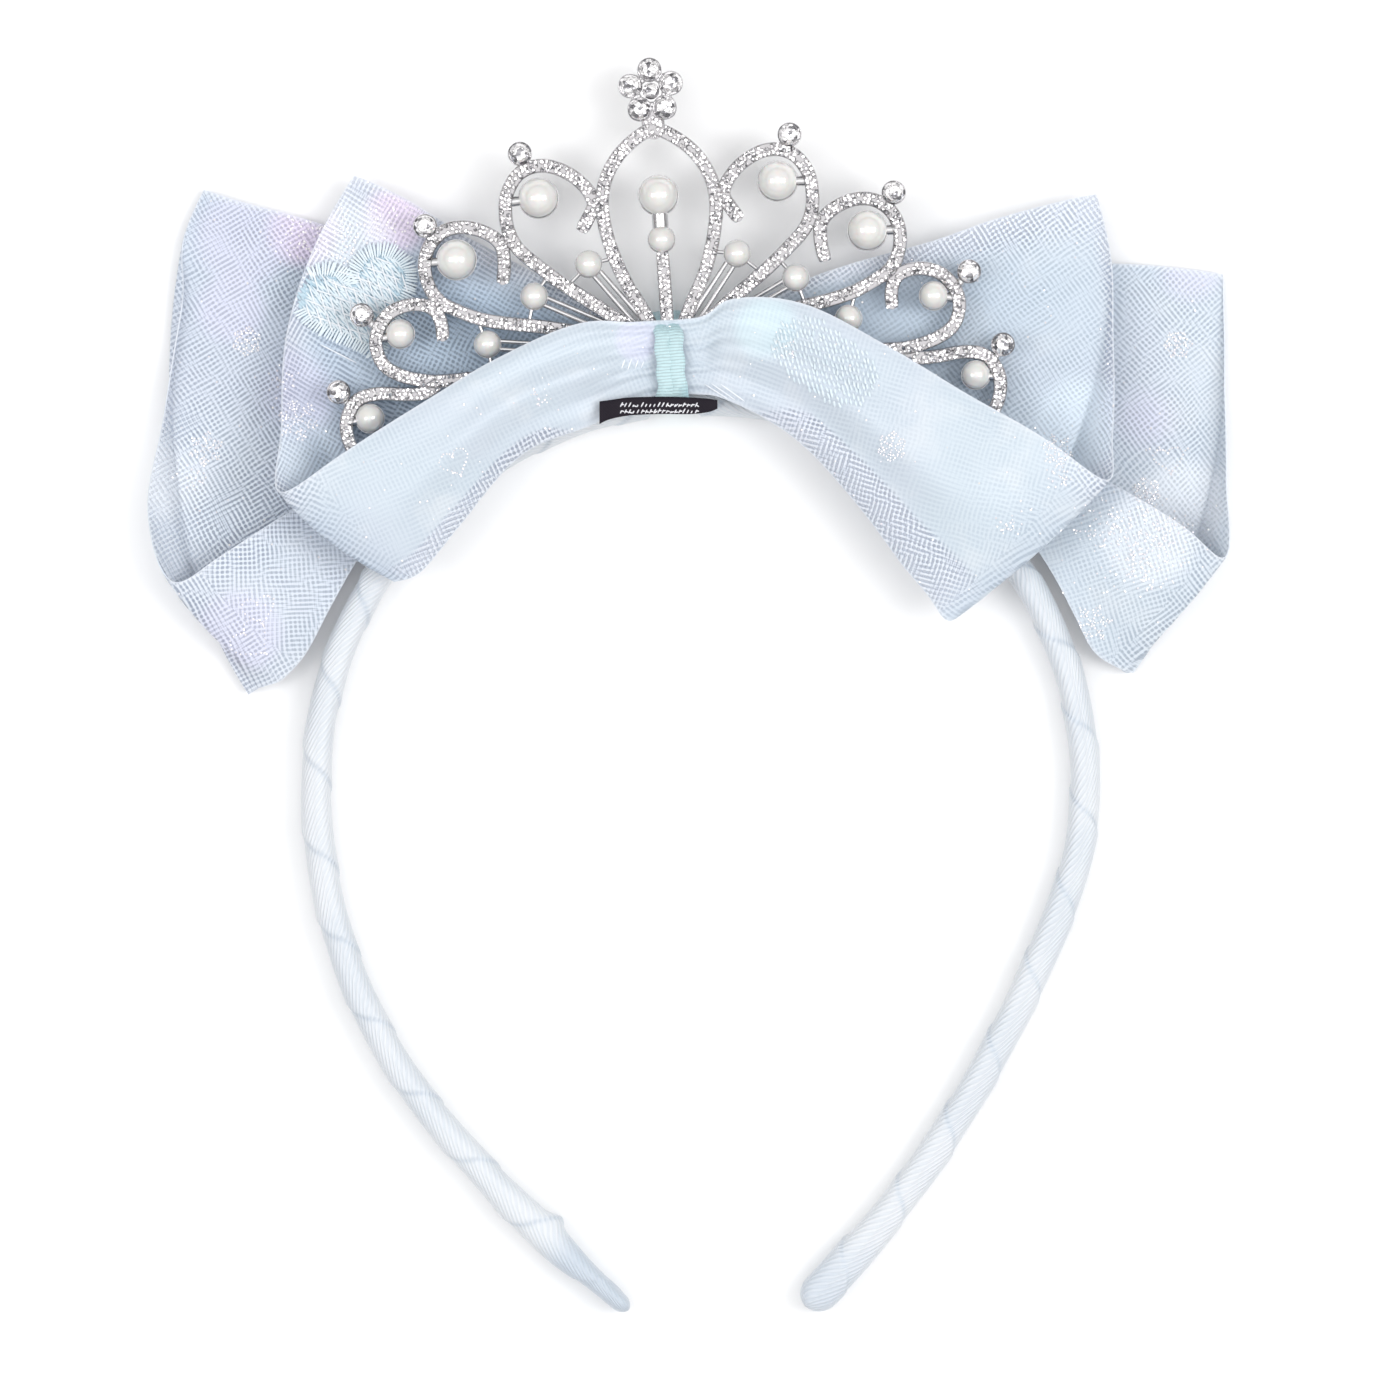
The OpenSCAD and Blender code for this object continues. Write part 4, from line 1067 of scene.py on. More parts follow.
class HEADBAND_OT_hoop(PieceOperator, bpy.types.Operator):
    """Models the hoop's ribbon wrapped round its core"""
    bl_idname = "headband.hoop"
    bl_label = "Wrapped hoop"

    def execute(self, context):
        path, thick = hoop_path()
        along = unit(np.gradient(path, axis=0))
        side = np.stack([-along[:, 1], along[:, 0], np.zeros(len(path))], -1)
        s = run(path)[:, None]
        turns = np.linspace(-math.pi / 2, 1.5 * math.pi, 61)[None]
        half_t = (thick * BAND_T / 2)[:, None]
        end = np.minimum(s, s[-1] - s)
        rounding = np.sqrt(np.clip(1 - np.clip(1 - end / half_t, 0, 1) ** 2, 0, 1))
        # The ribbon's edge climbs the hoop once a turn, and lies over the turn before it
        share = (s / sizes().wrap_pitch + turns / (2 * math.pi) + 0.25) % 1.0
        lap = np.where(share < 0.03, share / 0.03, (1 - share) ** 2) * rounding
        under = WRAP_LAP * (1 - lap)
        x = boxy(np.cos(turns), 0.8) * (half_t - under) * rounding
        z = boxy(np.sin(turns), 0.7) * (BAND_W / 2 - under) * (0.5 + 0.5 * rounding)
        # The knot draws the ribbon in on the hoop's inner side and its back. The path runs clockwise,
        # so its left is the hoop's outer side
        angle = np.arctan2(-path[:, 0], path[:, 1])[:, None] - LEAN
        held = fade(np.abs(angle) * HOOP_R, *KNOT_HOLDS)
        x = np.where(x < 0, x * (1 - DRAWN_IN * held), x)
        z = np.where(z < 0, z * (1 - DRAWN_UP * held), z)
        # The left tip is pressed thinner, and the ribbon's end makes a bump above it
        x = x * (1 - TIP_PRESSED * fade(s, TIP_LENGTH, 1.0))
        bump = np.exp(-((s - BUMP_AT) / BUMP_W) ** 2) * BUMP_UP
        x = x - bump * fade(x / half_t, -0.1, -0.9)
        points = path[:, None] + side[:, None] * x[..., None]
        points[..., 2] = BAND_W / 2 + z
        obj = grid("hoop_ribbon", points, metres_over(s, run(points[len(points) // 2])))
        # Painted shade: a thin dark line where each turn laps over the last, and darker tips, the left one
        # most
        painted_seam_shade = np.where(share < 0.5, np.exp(-share / 0.025), np.exp(-(1 - share) / 0.02))
        tips = fade(s, 17, 11) + 0.6 * fade(s[-1] - s, 16, 3)
        hold(obj, "painted_seam_shade", np.maximum(painted_seam_shade, tips))
        outward(merged(obj))
        smooth_shaded(obj, 50)
        c = colours()
        finished(obj, wrap_material("hoop_satin", c.ribbon, c.ribbon_shade), "ribbon", "band")
        return {"FINISHED"}


def bend_points(arm, side):
    """Points down one arm from the hoop's round top, with the thickness share at each."""
    centre = np.array([(1 - arm[0][0]) * HOOP_R, 0.0])
    bent = 0.0
    points, thick = [], []
    for i, (share, angle, t) in enumerate(arm):
        r, angle = share * HOOP_R, math.radians(angle)
        n = max(int(angle * r / HOOP_STEP), 2)
        for a in bent + angle * np.arange(1, n + 1) / n:
            points.append([side * (centre[0] + r * math.cos(a)), centre[1] - r * math.sin(a), 0])
            thick.append(t)
        bent += angle
        if i + 1 < len(arm):
            centre = centre + (r - arm[i + 1][0] * HOOP_R) * np.array([math.cos(bent), -math.sin(bent)])
    return points, thick


def hoop_path():
    """The hoop's middle line from its left tip to its right one, and the thickness share along it."""
    left, left_t = bend_points(LEFT_ARM, -1)
    right, right_t = bend_points(RIGHT_ARM, 1)
    n = int(math.pi * HOOP_R / HOOP_STEP)
    top = [[HOOP_R * math.cos(a), HOOP_R * math.sin(a), 0] for a in np.linspace(math.pi, 0, n)]
    path = np.array(left[::-1] + top + right)
    thick = np.array(left_t[::-1] + [1.0] * n + right_t)
    for _ in range(40):
        thick[1:-1] = (thick[:-2] + thick[1:-1] + thick[2:]) / 3
    # Past the arms' ends the tips are rounded, in steps that get shorter
    first = path[0] + unit(path[0] - path[1]) * BAND_T * 0.43
    last = path[-1] + unit(path[-1] - path[-2]) * BAND_T * 0.6
    steps = np.linspace(0, math.pi / 2, 7)[:, None]
    head = first + (path[0] - first) * (1 - np.cos(steps[:-1]))
    tail = path[-1] + (last - path[-1]) * np.sin(steps[1:])
    return np.concatenate([head, path, tail]), np.pad(thick, len(head), "edge")


class HEADBAND_OT_knot(PieceOperator, bpy.types.Operator):
    """Models the ribbed ribbon of the knot, gathered in two columns"""
    bl_idname = "headband.knot"
    bl_label = "Knot"

    def execute(self, context):
        ring = smooth(KNOT_RING, 14, closed=True)
        ring = np.concatenate([ring, ring[:1]])
        r, z = ring[:, :1], ring[:, 1:]
        slope = np.gradient(ring, axis=0)
        out = unit(np.stack([-slope[:, 1], slope[:, 0]], -1))
        s, a = run(ring)[:, None], np.linspace(-1, 1, 41)[None]
        rib = sizes().rib_pitch
        column = COLUMN_UP * np.abs(np.sin(math.pi * (a + 1))) ** 0.6
        bent = s + 0.25 * rib * np.copysign(1, a) + 0.35 * a * a
        ribs = RIB_UP * np.abs(np.sin(math.pi * bent / rib)) ** 0.7
        edge = 1 - 0.9 * np.maximum(np.abs(a) - 0.9, 0) / 0.1
        push = (column + ribs) * edge - KNOT_SUNK
        foot = np.where(z > 6, np.clip((60.5 - r) / 5.0, 0, 1), 0.5)
        across = a * (KNOT_HALF + KNOT_FOOT * foot ** 1.5) + 0.12 * np.sin(s * 1.7)
        x, y = rotated(across, r - out[:, :1] * push, LEAN)
        obj = grid("knot_ribbon", np.stack([x, y, z - out[:, 1:] * push], -1), metres_over(s, a * 3))
        away = np.hypot(x, y)
        # Painted shade: darker teal over the knot's top fold and on the edges of its foot
        hold(obj, "shade", fade(away, 67.0, 70.0) + 0.8 * fade(a, 0.2, 1.0) * fade(away, 60.5, 58.5))
        thickened(merged(obj), KNOT_T, -1)
        smooth_shaded(obj, 50)
        finished(obj, knot_material("knot_grosgrain", tuple(colours().knot), rib * MM), "grosgrain", "knot")
        return {"FINISHED"}


class HEADBAND_OT_label(PieceOperator, bpy.types.Operator):
    """Models the folded label, left without words"""
    bl_idname = "headband.label"
    bl_label = "Label"

    def execute(self, context):
        x, upper, lower = np.split(smooth(LABEL_COLUMNS, 6), 3, axis=1)
        turns = np.linspace(0, 2 * math.pi, 25)[None]
        y = (upper + lower) / 2 + (upper - lower) / 2 * boxy(np.cos(turns), 0.5)
        z = KNOT_TOP_Z + LABEL_UP + 0.25 * np.sin(x * 0.9) + LABEL_FOLD * boxy(np.sin(turns), 0.6)
        points = np.stack(np.broadcast_arrays(x, y, z), -1)
        ends = np.broadcast_to(points.mean(1, keepdims=True), points.shape)
        points = np.concatenate([ends[:1], points, ends[-1:]])
        obj = outward(merged(grid("label_fold", points, points[..., :2] * MM)))
        smooth_shaded(obj, 50)
        finished(obj, label_material("label_satin"), "label_fabric", "label")
        return {"FINISHED"}


def stroke_line(points, side):
    """A stroke of the crown on one side of it, from its points in the right half."""
    line = smooth([(side * x * CROWN_HALF, y * CROWN_RISE) for x, y in points], 4)
    return np.array([crown_at(x, y) for x, y in line])


def stem_lines():
    """The stem below its pearls and the neck below the flower: their lines, widths and rows of stones."""
    stem = np.linspace(STEM_LOWER_UP * CROWN_RISE - 1.6, -2.6, 16)
    neck = np.linspace(TOP_NECK_UP[0] * CROWN_RISE, TOP_NECK_UP[1] * CROWN_RISE, 8)
    return [(np.array([crown_at(0, up) for up in ups]), width, rows)
            for ups, width, rows in ((stem, STEM_W, PAVE_ROWS), (neck, TOP_NECK_W, NECK_ROWS))]


def scroll(line, width=SCROLL_W, rise=0.0):
    """A cast scroll: a strip with a polished edge on each side and a sunk bed for stones, rounded at
    its ends."""
    h, top = width / 2, CROWN_T + rise
    edge = [(h, top - 0.35), (h - 0.04, top - 0.08), (h - 0.10, top), (h - 0.17, top - 0.06),
            (h - 0.22, top - 0.42)]
    section = [(-h, 0.2), (-h + 0.2, 0), (h - 0.2, 0), (h, 0.2)] + edge + [(-x, z) for x, z in edge[::-1]]
    lengths = run(line)
    tip = np.linspace(0, h, 5)
    fine = np.unique(np.concatenate([tip, lengths, lengths[-1] - tip]).round(4))
    end = np.minimum(fine, fine[-1] - fine)
    shares = np.sqrt(np.clip(1 - np.clip(1 - end / h, 0, 1) ** 2, 0.03, 1))
    obj = smooth_shaded(swept("scroll", place_at(line, lengths, fine), section, shares), 30)
    height = mesh_numbers(obj.data.vertices, "co", each=3)[2::3] / MM - CROWN_Z
    # Marks the sunk bed, which the material paints darker as shade between the stones
    hold(obj, "bed", (height > 0.5) & (height < top - 0.38))
    return obj


def round_bar(a, b, radius, sides=10):
    """A round bar from one place to another, at the casting's middle height."""
    turns = np.linspace(0, 2 * math.pi, sides, endpoint=False)
    section = [(radius * math.cos(t), CROWN_T / 2 + radius * math.sin(t)) for t in turns]
    return smooth_shaded(swept("bar", np.linspace(a, b, 4), section), 60)


def flower_places():
    """The middles of the flower's five petals, and then its own."""
    up = FLOWER_UP * CROWN_RISE
    r = CROWN_RISE - up
    turns = [math.radians(90 + 72 * k) for k in range(5)]
    return [crown_at(r * math.cos(t), up + r * math.sin(t)) for t in turns] + [crown_at(0, up)]


def both_sides(items):
    """The places of items that start with their shares across and up, on the left and on the right."""
    return [on_side(side, *item[:2]) for name, side in SIDES for item in items]


def stem_pearls():
    """The upper and the lower pearl's place on the stem."""
    return [crown_at(0, up * CROWN_RISE) for up in (STEM_UPPER_UP, STEM_LOWER_UP)]


def pearl_places():
    """The pearls' radii with the places of their cups."""
    large, medium = ([p for p in PEARLS if p[4] == d] for d in (LARGE_PEARL_D, MEDIUM_PEARL_D))
    upper, lower = stem_pearls()
    return ((LARGE_PEARL_D / 2, both_sides(large) + [upper]), (MEDIUM_PEARL_D / 2, both_sides(medium)),
            (SMALL_PEARL_D / 2, both_sides(WIRE_PEARLS) + [lower]))


# Turned parts of the casting, each copied to its places
def cups(r, places):
    """Cups with a flat polished rim that shows as a ring round each pearl."""
    cup = turned("cup", [(r * 0.6, 0), (r * 0.93, 0.15), (r, 0.5), (r + 0.10, 1.0), (r + 0.05, 1.14),
                         (r * 0.95, 1.14), (r * 0.8, 0.95), (r * 0.65, 0.6)], 36)
    return smooth_shaded(copies("cups", cup, places), 45)


def balls(r, places):
    """Open balls at the scrolls' tips, which hold a stone each."""
    ball = turned("ball", [(r * 0.5, 0), (r * 0.88, 0.3), (r * 1.04, 1.0), (r * 1.05, 1.7), (r * 1.04, 2.1),
                           (r * 1.0, 2.24), (r * 0.95, 2.18), (r * 0.92, 1.9)], 28)
    return smooth_shaded(copies("balls", ball, places), 40)


def petals(r, places):
    """The flower's petals and its middle, each a round setting with a rim."""
    petal = turned("petal", [(r * 0.8, 0), (r, 0.3), (r, 1.5), (r - 0.05, 1.66), (r - 0.13, 1.72),
                             (r - 0.2, 1.68), (r - 0.26, 1.5), (r - 0.28, 1.2)], 28)
    return smooth_shaded(copies("petals", petal, places), 40)


def hub_plate():
    """The plate behind the knot in which all the strokes meet."""
    hub = turned("hub", [(3.0, 0), (3.2, 0.3), (3.2, 1.2), (2.9, 1.4)], 32)
    return copies("hub_plate", hub, [crown_at(0, 0)])


def flower_disc():
    """The disc behind the petals."""
    r = (1 - FLOWER_UP) * CROWN_RISE
    disc = turned("disc", [(r - 0.2, 0.1), (r, 0.3), (r, 1.1), (r - 0.2, 1.3)], 40)
    return copies("flower_disc", disc, flower_places()[5:])


class HEADBAND_OT_crown(PieceOperator, bpy.types.Operator):
    """Models the crown's cast metal: scrolls, stem, cups, balls, wires and flower"""
    bl_idname = "headband.crown"
    bl_label = "Crown metal"

    def execute(self, context):
        parts = []
        for name, side in SIDES:
            for k, points in enumerate(STROKES):
                parts.append(scroll(stroke_line(points, side), rise=STROKE_STEP * (k + (side > 0) / 2)))
            for x, y, foot_x, foot_y, *size in BALLS + PEARLS:
                parts.append(round_bar(on_side(side, x, y), on_side(side, foot_x, foot_y), FOOT_R))
            for x, y, foot_x, foot_y in WIRE_PEARLS:
                a, b = on_side(side, x, y), on_side(side, foot_x, foot_y)
                along = unit(b - a)
                off = np.array([-along[1], along[0], 0]) * (WIRE_W + WIRE_GAP) / 2
                parts += [round_bar(a + s * off, b + s * off, WIRE_R) for s in (-1, 1)]
            for k, x, y in PRONGS:
                parts.append(round_bar(on_side(side, *WIRE_PEARLS[k][:2]), on_side(side, x, y), PRONG_R))
        for line, width, rows in stem_lines():
            parts.append(scroll(line, width, rise=STROKE_STEP * 6))
        parts.append(round_bar(*stem_pearls(), STEM_NECK_R, 20))
        parts += [hub_plate(), flower_disc()]
        parts += [cups(radius, places) for radius, places in pearl_places()]
        parts += [balls(BALL_R, both_sides(BALLS)), petals(PETAL_R, flower_places())]
        finished(joined("crown_casting", parts), metal_material("silver_plate"), "crown_metal", "crown")
        return {"FINISHED"}


class HEADBAND_OT_pave(PieceOperator, bpy.types.Operator):
    """Sets staggered rows of small stones along every stroke of the crown and its two necks"""
    bl_idname = "headband.pave"
    bl_label = "Pave stones"

    def execute(self, context):
        rng = np.random.default_rng(11)
        pitch = sizes().stone_pitch
        lines = [(stroke_line(points, side), PAVE_ROWS) for name, side in SIDES for points in STROKES]
        lines += [(line, rows) for line, width, rows in stem_lines()]
        *petals, middle = flower_places()
        # Five stones lie in the gaps between the petals
        gaps = [(p + q) / 2 * [1, 1, 0] + raised(CROWN_Z + 1.15)
                for p, q in zip(petals, petals[1:] + petals[:1])]
        places = [middle + (p - middle) * 0.98 for p in gaps]
        full = [middle[:2]] + [p[:2] for p in petals]
        taken = [p[:2] for p in places]
        for line, rows in lines:
            lengths = run(line)
            for row in range(rows):
                s = 0.45 + row % 2 * pitch / 2
                while s < lengths[-1] - 0.4:
                    p, q = place_at(line, lengths, [s, s + 0.2])
                    d = (q - p)[:2] / max(np.linalg.norm((q - p)[:2]), 1e-6)
                    out = np.array([-d[1], d[0]]) * (row - (rows - 1) / 2) * PAVE_STEP
                    p[:2] += out + rng.normal(0, 0.05, 2)
                    if nearest(full, p) > FLOWER_CLEAR and nearest(taken, p) > PAVE_CLEAR:
                        taken.append(p[:2])
                        places.append(p + raised(CROWN_T - PAVE_SUNK))
                    s += pitch * rng.uniform(0.92, 1.08)
        stone = turned("pave", [(0.2, 0), (0.35, 0.14), (0.35, 0.2), (0.23, 0.38)], 7)
        obj = copies("pave_stones", stone, places, scattered(rng, len(places), 2 * math.pi, 0.9, 1.12, 0.13))
        finished(obj, stone_material("pave_crystal", 2400, 0.24, 0.2), "crystal")
        return {"FINISHED"}


def nearest(taken, place):
    """How far the nearest of some places lies from one, seen from above."""
    return np.hypot(*(np.array(taken) - place[:2]).T).min()


class HEADBAND_OT_stones(PieceOperator, bpy.types.Operator):
    """Cuts the larger stones of the balls and the flower"""
    bl_idname = "headband.stones"
    bl_label = "Large stones"

    def execute(self, context):
        material = stone_material("cut_crystal", 1700, 0.26, 0.6)
        *petals, middle = flower_places()
        stones = [(f"ball_stone_{name}_{k + 1}", on_side(side, *ball[:2]) + raised(CROWN_T + BALL_LIFT),
                   BALL_STONE_R) for name, side in SIDES for k, ball in enumerate(BALLS)]
        stones += [(f"petal_stone_{k + 1}", p + raised(CROWN_T), PETAL_STONE_R)
                   for k, p in enumerate(petals)]
        stones.append(("flower_stone", middle + raised(CROWN_T), FLOWER_STONE_R))
        rng = np.random.default_rng(17)
        for node, place, r in stones:
            shape = turned_by(rng.uniform(0, 6), 1.0, rng.normal(0, 0.08, 2))
            finished(brilliant(node + "_cut", r, place, shape), material, "crystal", node)
        return {"FINISHED"}


def brilliant(name, r, place, shape):
    """A round brilliant with a table, eight star and kite facets and a girdle."""
    profile = [(0.12, -0.62), (0.96, 0), (1, 0.06), (0.98, 0.12), (0.78, 0.32), (0.55, 0.48)]
    stone = turned(name + "_rough", [(share * r, up * r) for share, up in profile], 16)
    # Every other vertex of the shoulder is turned in, which makes kites and stars
    co = mesh_numbers(stone.data.vertices, "co", each=3).reshape(-1, 3)
    radius = np.hypot(co[:, 0], co[:, 1]) / MM
    odd = np.round(np.arctan2(co[:, 1], co[:, 0]) / (math.pi / 8)).astype(int) % 2 == 1
    shoulder = (np.abs(radius - 0.78 * r) < 0.01 * r) & odd
    co[shoulder, 2] += 0.04 * r * MM
    co[shoulder, :2] *= 0.96
    table = (np.abs(radius - 0.55 * r) < 0.01 * r) & odd
    co[table, :2] *= 0.93
    stone.data.vertices.foreach_set("co", co.reshape(-1))
    return copies(name, stone, [place], [shape])


class HEADBAND_OT_pearls(PieceOperator, bpy.types.Operator):
    """Gives the pearls their lustre and their flat seats"""
    bl_idname = "headband.pearls"
    bl_label = "Pearls"

    def execute(self, context):
        material = pearl_material("pearl_lustre")
        for node in [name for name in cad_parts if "pearl" in name]:
            low, high = (Vector(corner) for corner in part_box(node))
            r = (high.z - low.z) / 2 * PEARL_SHOWN
            middle = ((low.x + high.x) / 2, (low.y + high.y) / 2, low.z + r)
            bpy.ops.object.select_all(action="DESELECT")
            bpy.ops.mesh.primitive_uv_sphere_add(segments=48, ring_count=24, radius=r, location=middle)
            bead = named(node + "_bead")
            bpy.ops.object.transform_apply(location=True)
            seat = {"plane_co": (0, 0, low.z + PEARL_SEAT * r), "plane_no": (0, 0, 1)}
            edit(bead, lambda: bpy.ops.mesh.bisect(**seat, use_fill=True, clear_inner=True))
            finished(smooth_shaded(bead, 50), material, "pearl", node)
        return {"FINISHED"}


class Surface:
    """The top of one or more pieces, found by looking straight down."""

    def __init__(self, *names):
        verts, faces = [], []
        for name in names:
            mesh = bpy.data.objects[name].data
            first = len(verts)
            verts += [v.co.copy() for v in mesh.vertices]
            faces += [[first + i for i in f.vertices] for f in mesh.polygons]
        self.tree = BVHTree.FromPolygons(verts, faces)

    def top(self, x, y):
        """Hoop-centred x and y in mm to the place on top, or None where there is nothing."""
        a, b = in_frame([x, y, 0])[:2]
        hit = self.tree.ray_cast(Vector((a, b, 0.1)), Vector((0, 0, -1)))[0]
        return None if hit is None else np.array(hit) / MM - CENTRE


def threads(name, surface, lines, material, slot="net", width=0.3, lift=0.1):
    """Short sewn threads that lie on a surface between pairs of places, thinner at their ends. A pair
    is left out where it misses the surface or the surface drops steeply."""
    places, shapes = [], []
    for p, q in lines:
        a, b = surface.top(*p), surface.top(*q)
        if a is None or b is None or abs(a[2] - b[2]) > 1.5 * np.hypot(*(a - b)[:2]) + 0.3:
            continue
        d = b - a
        side = np.array([-d[1], d[0], 0]) / np.hypot(d[0], d[1]) * width
        places.append((a + b) / 2 + raised(lift))
        shapes.append(np.column_stack([side, raised(width * 0.7), d]))
    thread = turned("thread", [(0.12, -0.5), (0.42, -0.36), (0.5, 0), (0.42, 0.36), (0.12, 0.5)], 6)
    obj = outward(copies(name, thread, places, shapes))
    finished(smooth_shaded(obj, 60), material, slot)


def inside(point, outline):
    """Whether a point is inside a closed outline."""
    x, y = point
    odd = False
    for (x0, y0), (x1, y1) in zip(outline, np.roll(outline, -1, axis=0)):
        if (y0 > y) != (y1 > y) and x < (x1 - x0) * (y - y0) / (y1 - y0) + x0:
            odd = not odd
    return odd


def heart_outline(width, turn=0.0, n=160):
    """A heart round the origin, of n points."""
    t = np.linspace(0, 2 * math.pi, n, endpoint=False)
    x = np.sin(t) ** 3
    y = (13 * np.cos(t) - 5 * np.cos(2 * t) - 2 * np.cos(3 * t) - np.cos(4 * t)) / 16
    return np.stack(rotated(x * width / 2, (y + 0.12) * width / 2, turn), -1)


def filled_stitches(outline, rng, degrees, row, length, lap=-0.12):
    """Rows of stitches at an angle that fill an outline, each row a bit out of step with the last. row
    is the step between rows, and lap what a stitch is longer than its step."""
    angle = math.radians(degrees)
    along = np.array([math.cos(angle), math.sin(angle)])
    middle = outline.mean(0)
    size = np.abs(outline - middle).max() * 1.5
    lines = []
    for i, across in enumerate(np.arange(-size, size, row)):
        for k in np.arange(-size, size, length):
            start = k + (i % 3) * length / 3 + rng.normal(0, 0.12)
            p = middle + rotated(start, across, angle)
            q = p + along * (length + lap) + rng.normal(0, 0.09, 2)
            if inside(p, outline) and inside(q, outline):
                lines.append((p, q))
    return lines


def satin_border(outline, rng, width, pitch):
    """Short stitches side by side across an outline."""
    closed = np.vstack([outline, outline[:1]])
    lengths = run(closed)
    lines = []
    for s in np.arange(0, lengths[-1], pitch):
        p, q = place_at(closed, lengths, [s, s + 0.3])
        d = (q - p) / max(np.linalg.norm(q - p), 1e-6)
        out = np.array([-d[1], d[0]]) * width / 2 * rng.uniform(0.8, 1.15)
        slip = d * rng.normal(0.25, 0.08)
        lines.append((p - out, p + out + slip))
    return lines


class HEADBAND_OT_embroidery(PieceOperator, bpy.types.Operator):
    """Sews the heart, the rounded patch and the loose stitches onto the short bow"""
    bl_idname = "headband.embroidery"
    bl_label = "Embroidery"

    def execute(self, context):
        rng = np.random.default_rng(5)
        net = Surface("short_bow_net")
        floss = thread_material("aqua_floss", colour(236, 242, 246), colour(202, 220, 230))
        # The heart's ground is sewn in darker floss, a painted shade that shows between the upper strands
        under = thread_material("floss_painted_shade", colour(196, 216, 227), colour(170, 198, 214))
        white = thread_material("white_thread", colour(246, 248, 250), colour(214, 222, 232))
        heart = HEART_AT + heart_outline(HEART_W, HEART_TURN)
        core = heart.mean(0) + (heart - heart.mean(0)) * 0.93
        # Ground stitches in the painted shade floss
        ground = filled_stitches(heart, rng, -52, row=0.36, length=0.8, lap=0.4)
        threads("heart_ground", net, ground, under, width=0.46, lift=0.12)
        filling = filled_stitches(core, rng, -52, row=0.42, length=2.3, lap=0.3)
        filling += filled_stitches(core, rng, -30, row=0.8, length=2.8)
        threads("heart_filling", net, filling, floss, width=0.34, lift=0.34)
        border = satin_border(heart, rng, width=2.3, pitch=0.44)
        threads("heart_border", net, border, floss, width=0.36, lift=0.5)
        t = np.linspace(0, 2 * math.pi, 60, endpoint=False)
        x, y = PATCH_HALF[0] * boxy(np.cos(t), 0.8), PATCH_HALF[1] * boxy(np.sin(t), 0.8)
        patch = PATCH_AT + np.stack(rotated(x, y, PATCH_TURN), -1)
        filling = filled_stitches(patch, rng, -74, row=0.60, length=1.1)
        threads("patch_filling", net, filling, floss, width=0.38, lift=0.14)
        threads("loose_threads", net, LOOSE_THREADS, white, width=0.24, lift=0.12)
        stray = filled_stitches(heart, rng, -72, row=1.25, length=3.2)
        stray += filled_stitches(heart, rng, -20, row=1.9, length=3.0)
        threads("heart_stray_threads", net, stray, white, width=0.26, lift=0.62)
        return {"FINISHED"}


def snowflake(radius):
    """Places of the flakes of glitter in a six-armed star with two pairs of branches on each arm."""
    places = [(0.0, 0.0)]
    for arm in range(6):
        spots = [(r, 0) for r in np.arange(0.45, radius, 0.42)]
        for start, reach in ((0.45, 0.36), (0.72, 0.26)):
            for k in np.arange(0.4, reach * radius + 0.01, 0.4):
                spots += [(start * radius + k * 0.6, k * 0.8), (start * radius + k * 0.6, -k * 0.8)]
        places += [rotated(x, y, math.radians(60 * arm)) for x, y in spots]
    return np.array(places)


class HEADBAND_OT_glitter(PieceOperator, bpy.types.Operator):
    """Prints snowflakes, hearts and clouds of glitter on both bows"""
    bl_idname = "headband.glitter"
    bl_label = "Glitter"

    def execute(self, context):
        rng = np.random.default_rng(21)
        net = Surface("short_bow_net", "long_bow_net")
        spots = []
        for kind, x, y, size in GLITTER:
            turn = rng.uniform(0, 1)
            if kind == "snowflake":
                shape = snowflake(size)
            elif kind == "heart":
                shape = heart_outline(size * 2, n=34)
            else:
                shape = rng.normal(0, size / 2, (int(5 * size * size), 2))
            across, up = rotated(*(shape + rng.normal(0, 0.06, shape.shape)).T, turn)
            spots += zip(x + across, y + up)
        spots += rng.uniform(*FLAKE_BOX, (STRAY_FLAKES, 2)).tolist()
        found = [p + raised(PRINT_LIFT) for p in (net.top(*spot) for spot in spots) if p is not None]
        flake = turned("flake", [(0.10, 0), (0.14, 0.03), (0.11, 0.05)], 6)
        obj = copies("glitter_prints", flake, found, scattered(rng, len(found), 6, 0.7, 1.35, 0.16))
        finished(obj, glitter_material("glitter"), "net")
        return {"FINISHED"}


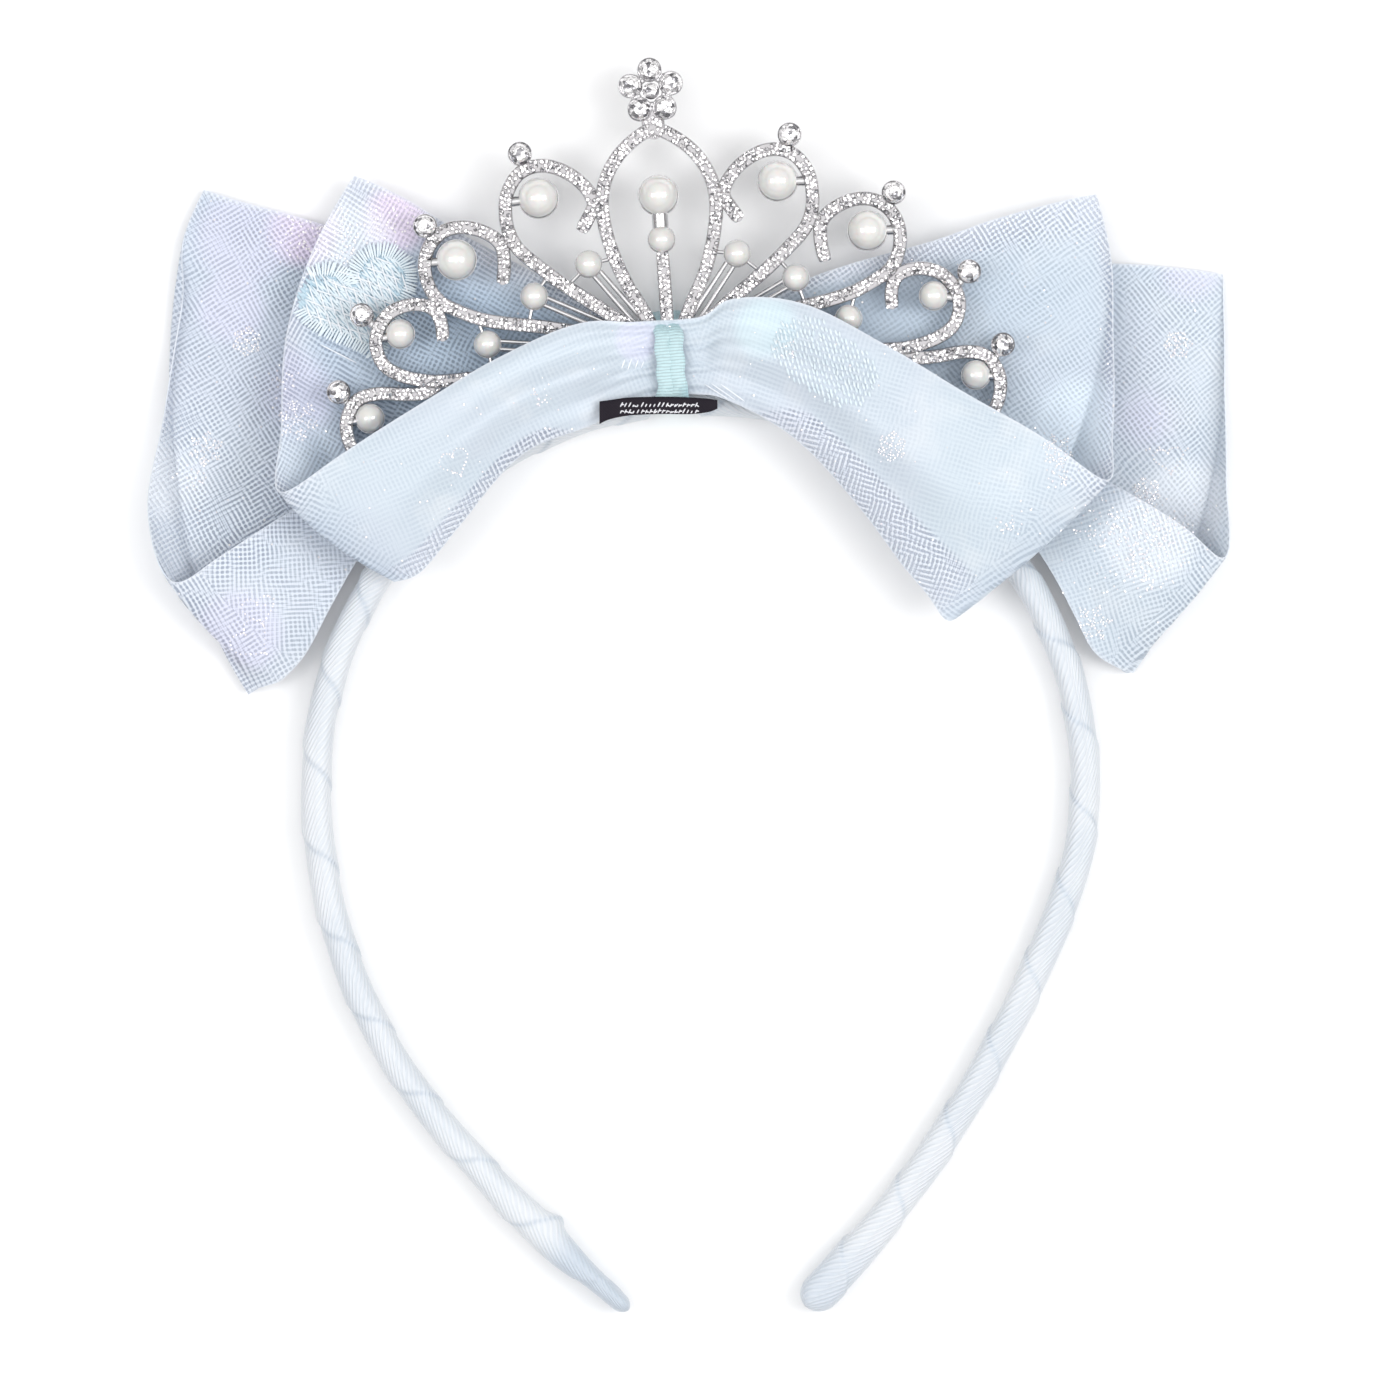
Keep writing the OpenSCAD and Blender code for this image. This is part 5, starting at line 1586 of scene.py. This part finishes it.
class HEADBAND_OT_label_marks(PieceOperator, bpy.types.Operator):
    """Weaves two plain rows of slanted dashes into the label"""
    bl_idname = "headband.label_marks"
    bl_label = "Label dashes"

    def execute(self, context):
        label = Surface("label_fold")
        rng = np.random.default_rng(9)
        dashes = []
        for y in DASH_ROWS:
            for x in np.arange(*DASH_SPAN, DASH_STEP):
                tall = rng.uniform(0.35, 0.75)
                dashes.append(((x, y), (x + 0.55 * tall, y + tall)))
                if rng.uniform() < 0.7:
                    low, high = rng.uniform(0, 0.5, 2)
                    dashes.append(((x + 0.1, y + low), (x + 0.6, y + high)))
        white = thread_material("label_thread", colour(244, 244, 246), colour(196, 196, 206))
        threads("label_dashes", label, dashes, white, "label_fabric", width=0.23, lift=0.03)
        return {"FINISHED"}


PIECES = (HEADBAND_OT_stage, HEADBAND_OT_hoop, HEADBAND_OT_knot, HEADBAND_OT_bows, HEADBAND_OT_label,
          HEADBAND_OT_crown, HEADBAND_OT_pave, HEADBAND_OT_stones, HEADBAND_OT_pearls,
          HEADBAND_OT_embroidery, HEADBAND_OT_glitter, HEADBAND_OT_label_marks)


class HEADBAND_PT_panel(bpy.types.Panel):
    """Lists the headband's sizes, colours and pieces"""
    bl_idname = "HEADBAND_PT_panel"
    bl_label = "Headband"
    bl_space_type = "VIEW_3D"
    bl_region_type = "UI"
    bl_category = "Headband"

    def draw(self, context):
        for group in (context.scene.headband_sizes, context.scene.headband_colours):
            for key in group.__annotations__:
                self.layout.prop(group, key)
        for piece in PIECES:
            self.layout.operator(piece.bl_idname)


CLASSES = (HeadbandSizes, HeadbandColours) + PIECES + (HEADBAND_PT_panel,)


def register():
    for c in CLASSES:
        bpy.utils.register_class(c)
    bpy.types.Scene.headband_sizes = bpy.props.PointerProperty(type=HeadbandSizes)
    bpy.types.Scene.headband_colours = bpy.props.PointerProperty(type=HeadbandColours)


def unregister():
    del bpy.types.Scene.headband_colours
    del bpy.types.Scene.headband_sizes
    for c in reversed(CLASSES):
        bpy.utils.unregister_class(c)


def main():
    register()
    for piece in PIECES:
        group, name = piece.bl_idname.split(".")
        if getattr(getattr(bpy.ops, group), name)() != {"FINISHED"}:
            raise RuntimeError(f"{piece.bl_label} didn't finish")


if __name__ == "__main__":
    main()
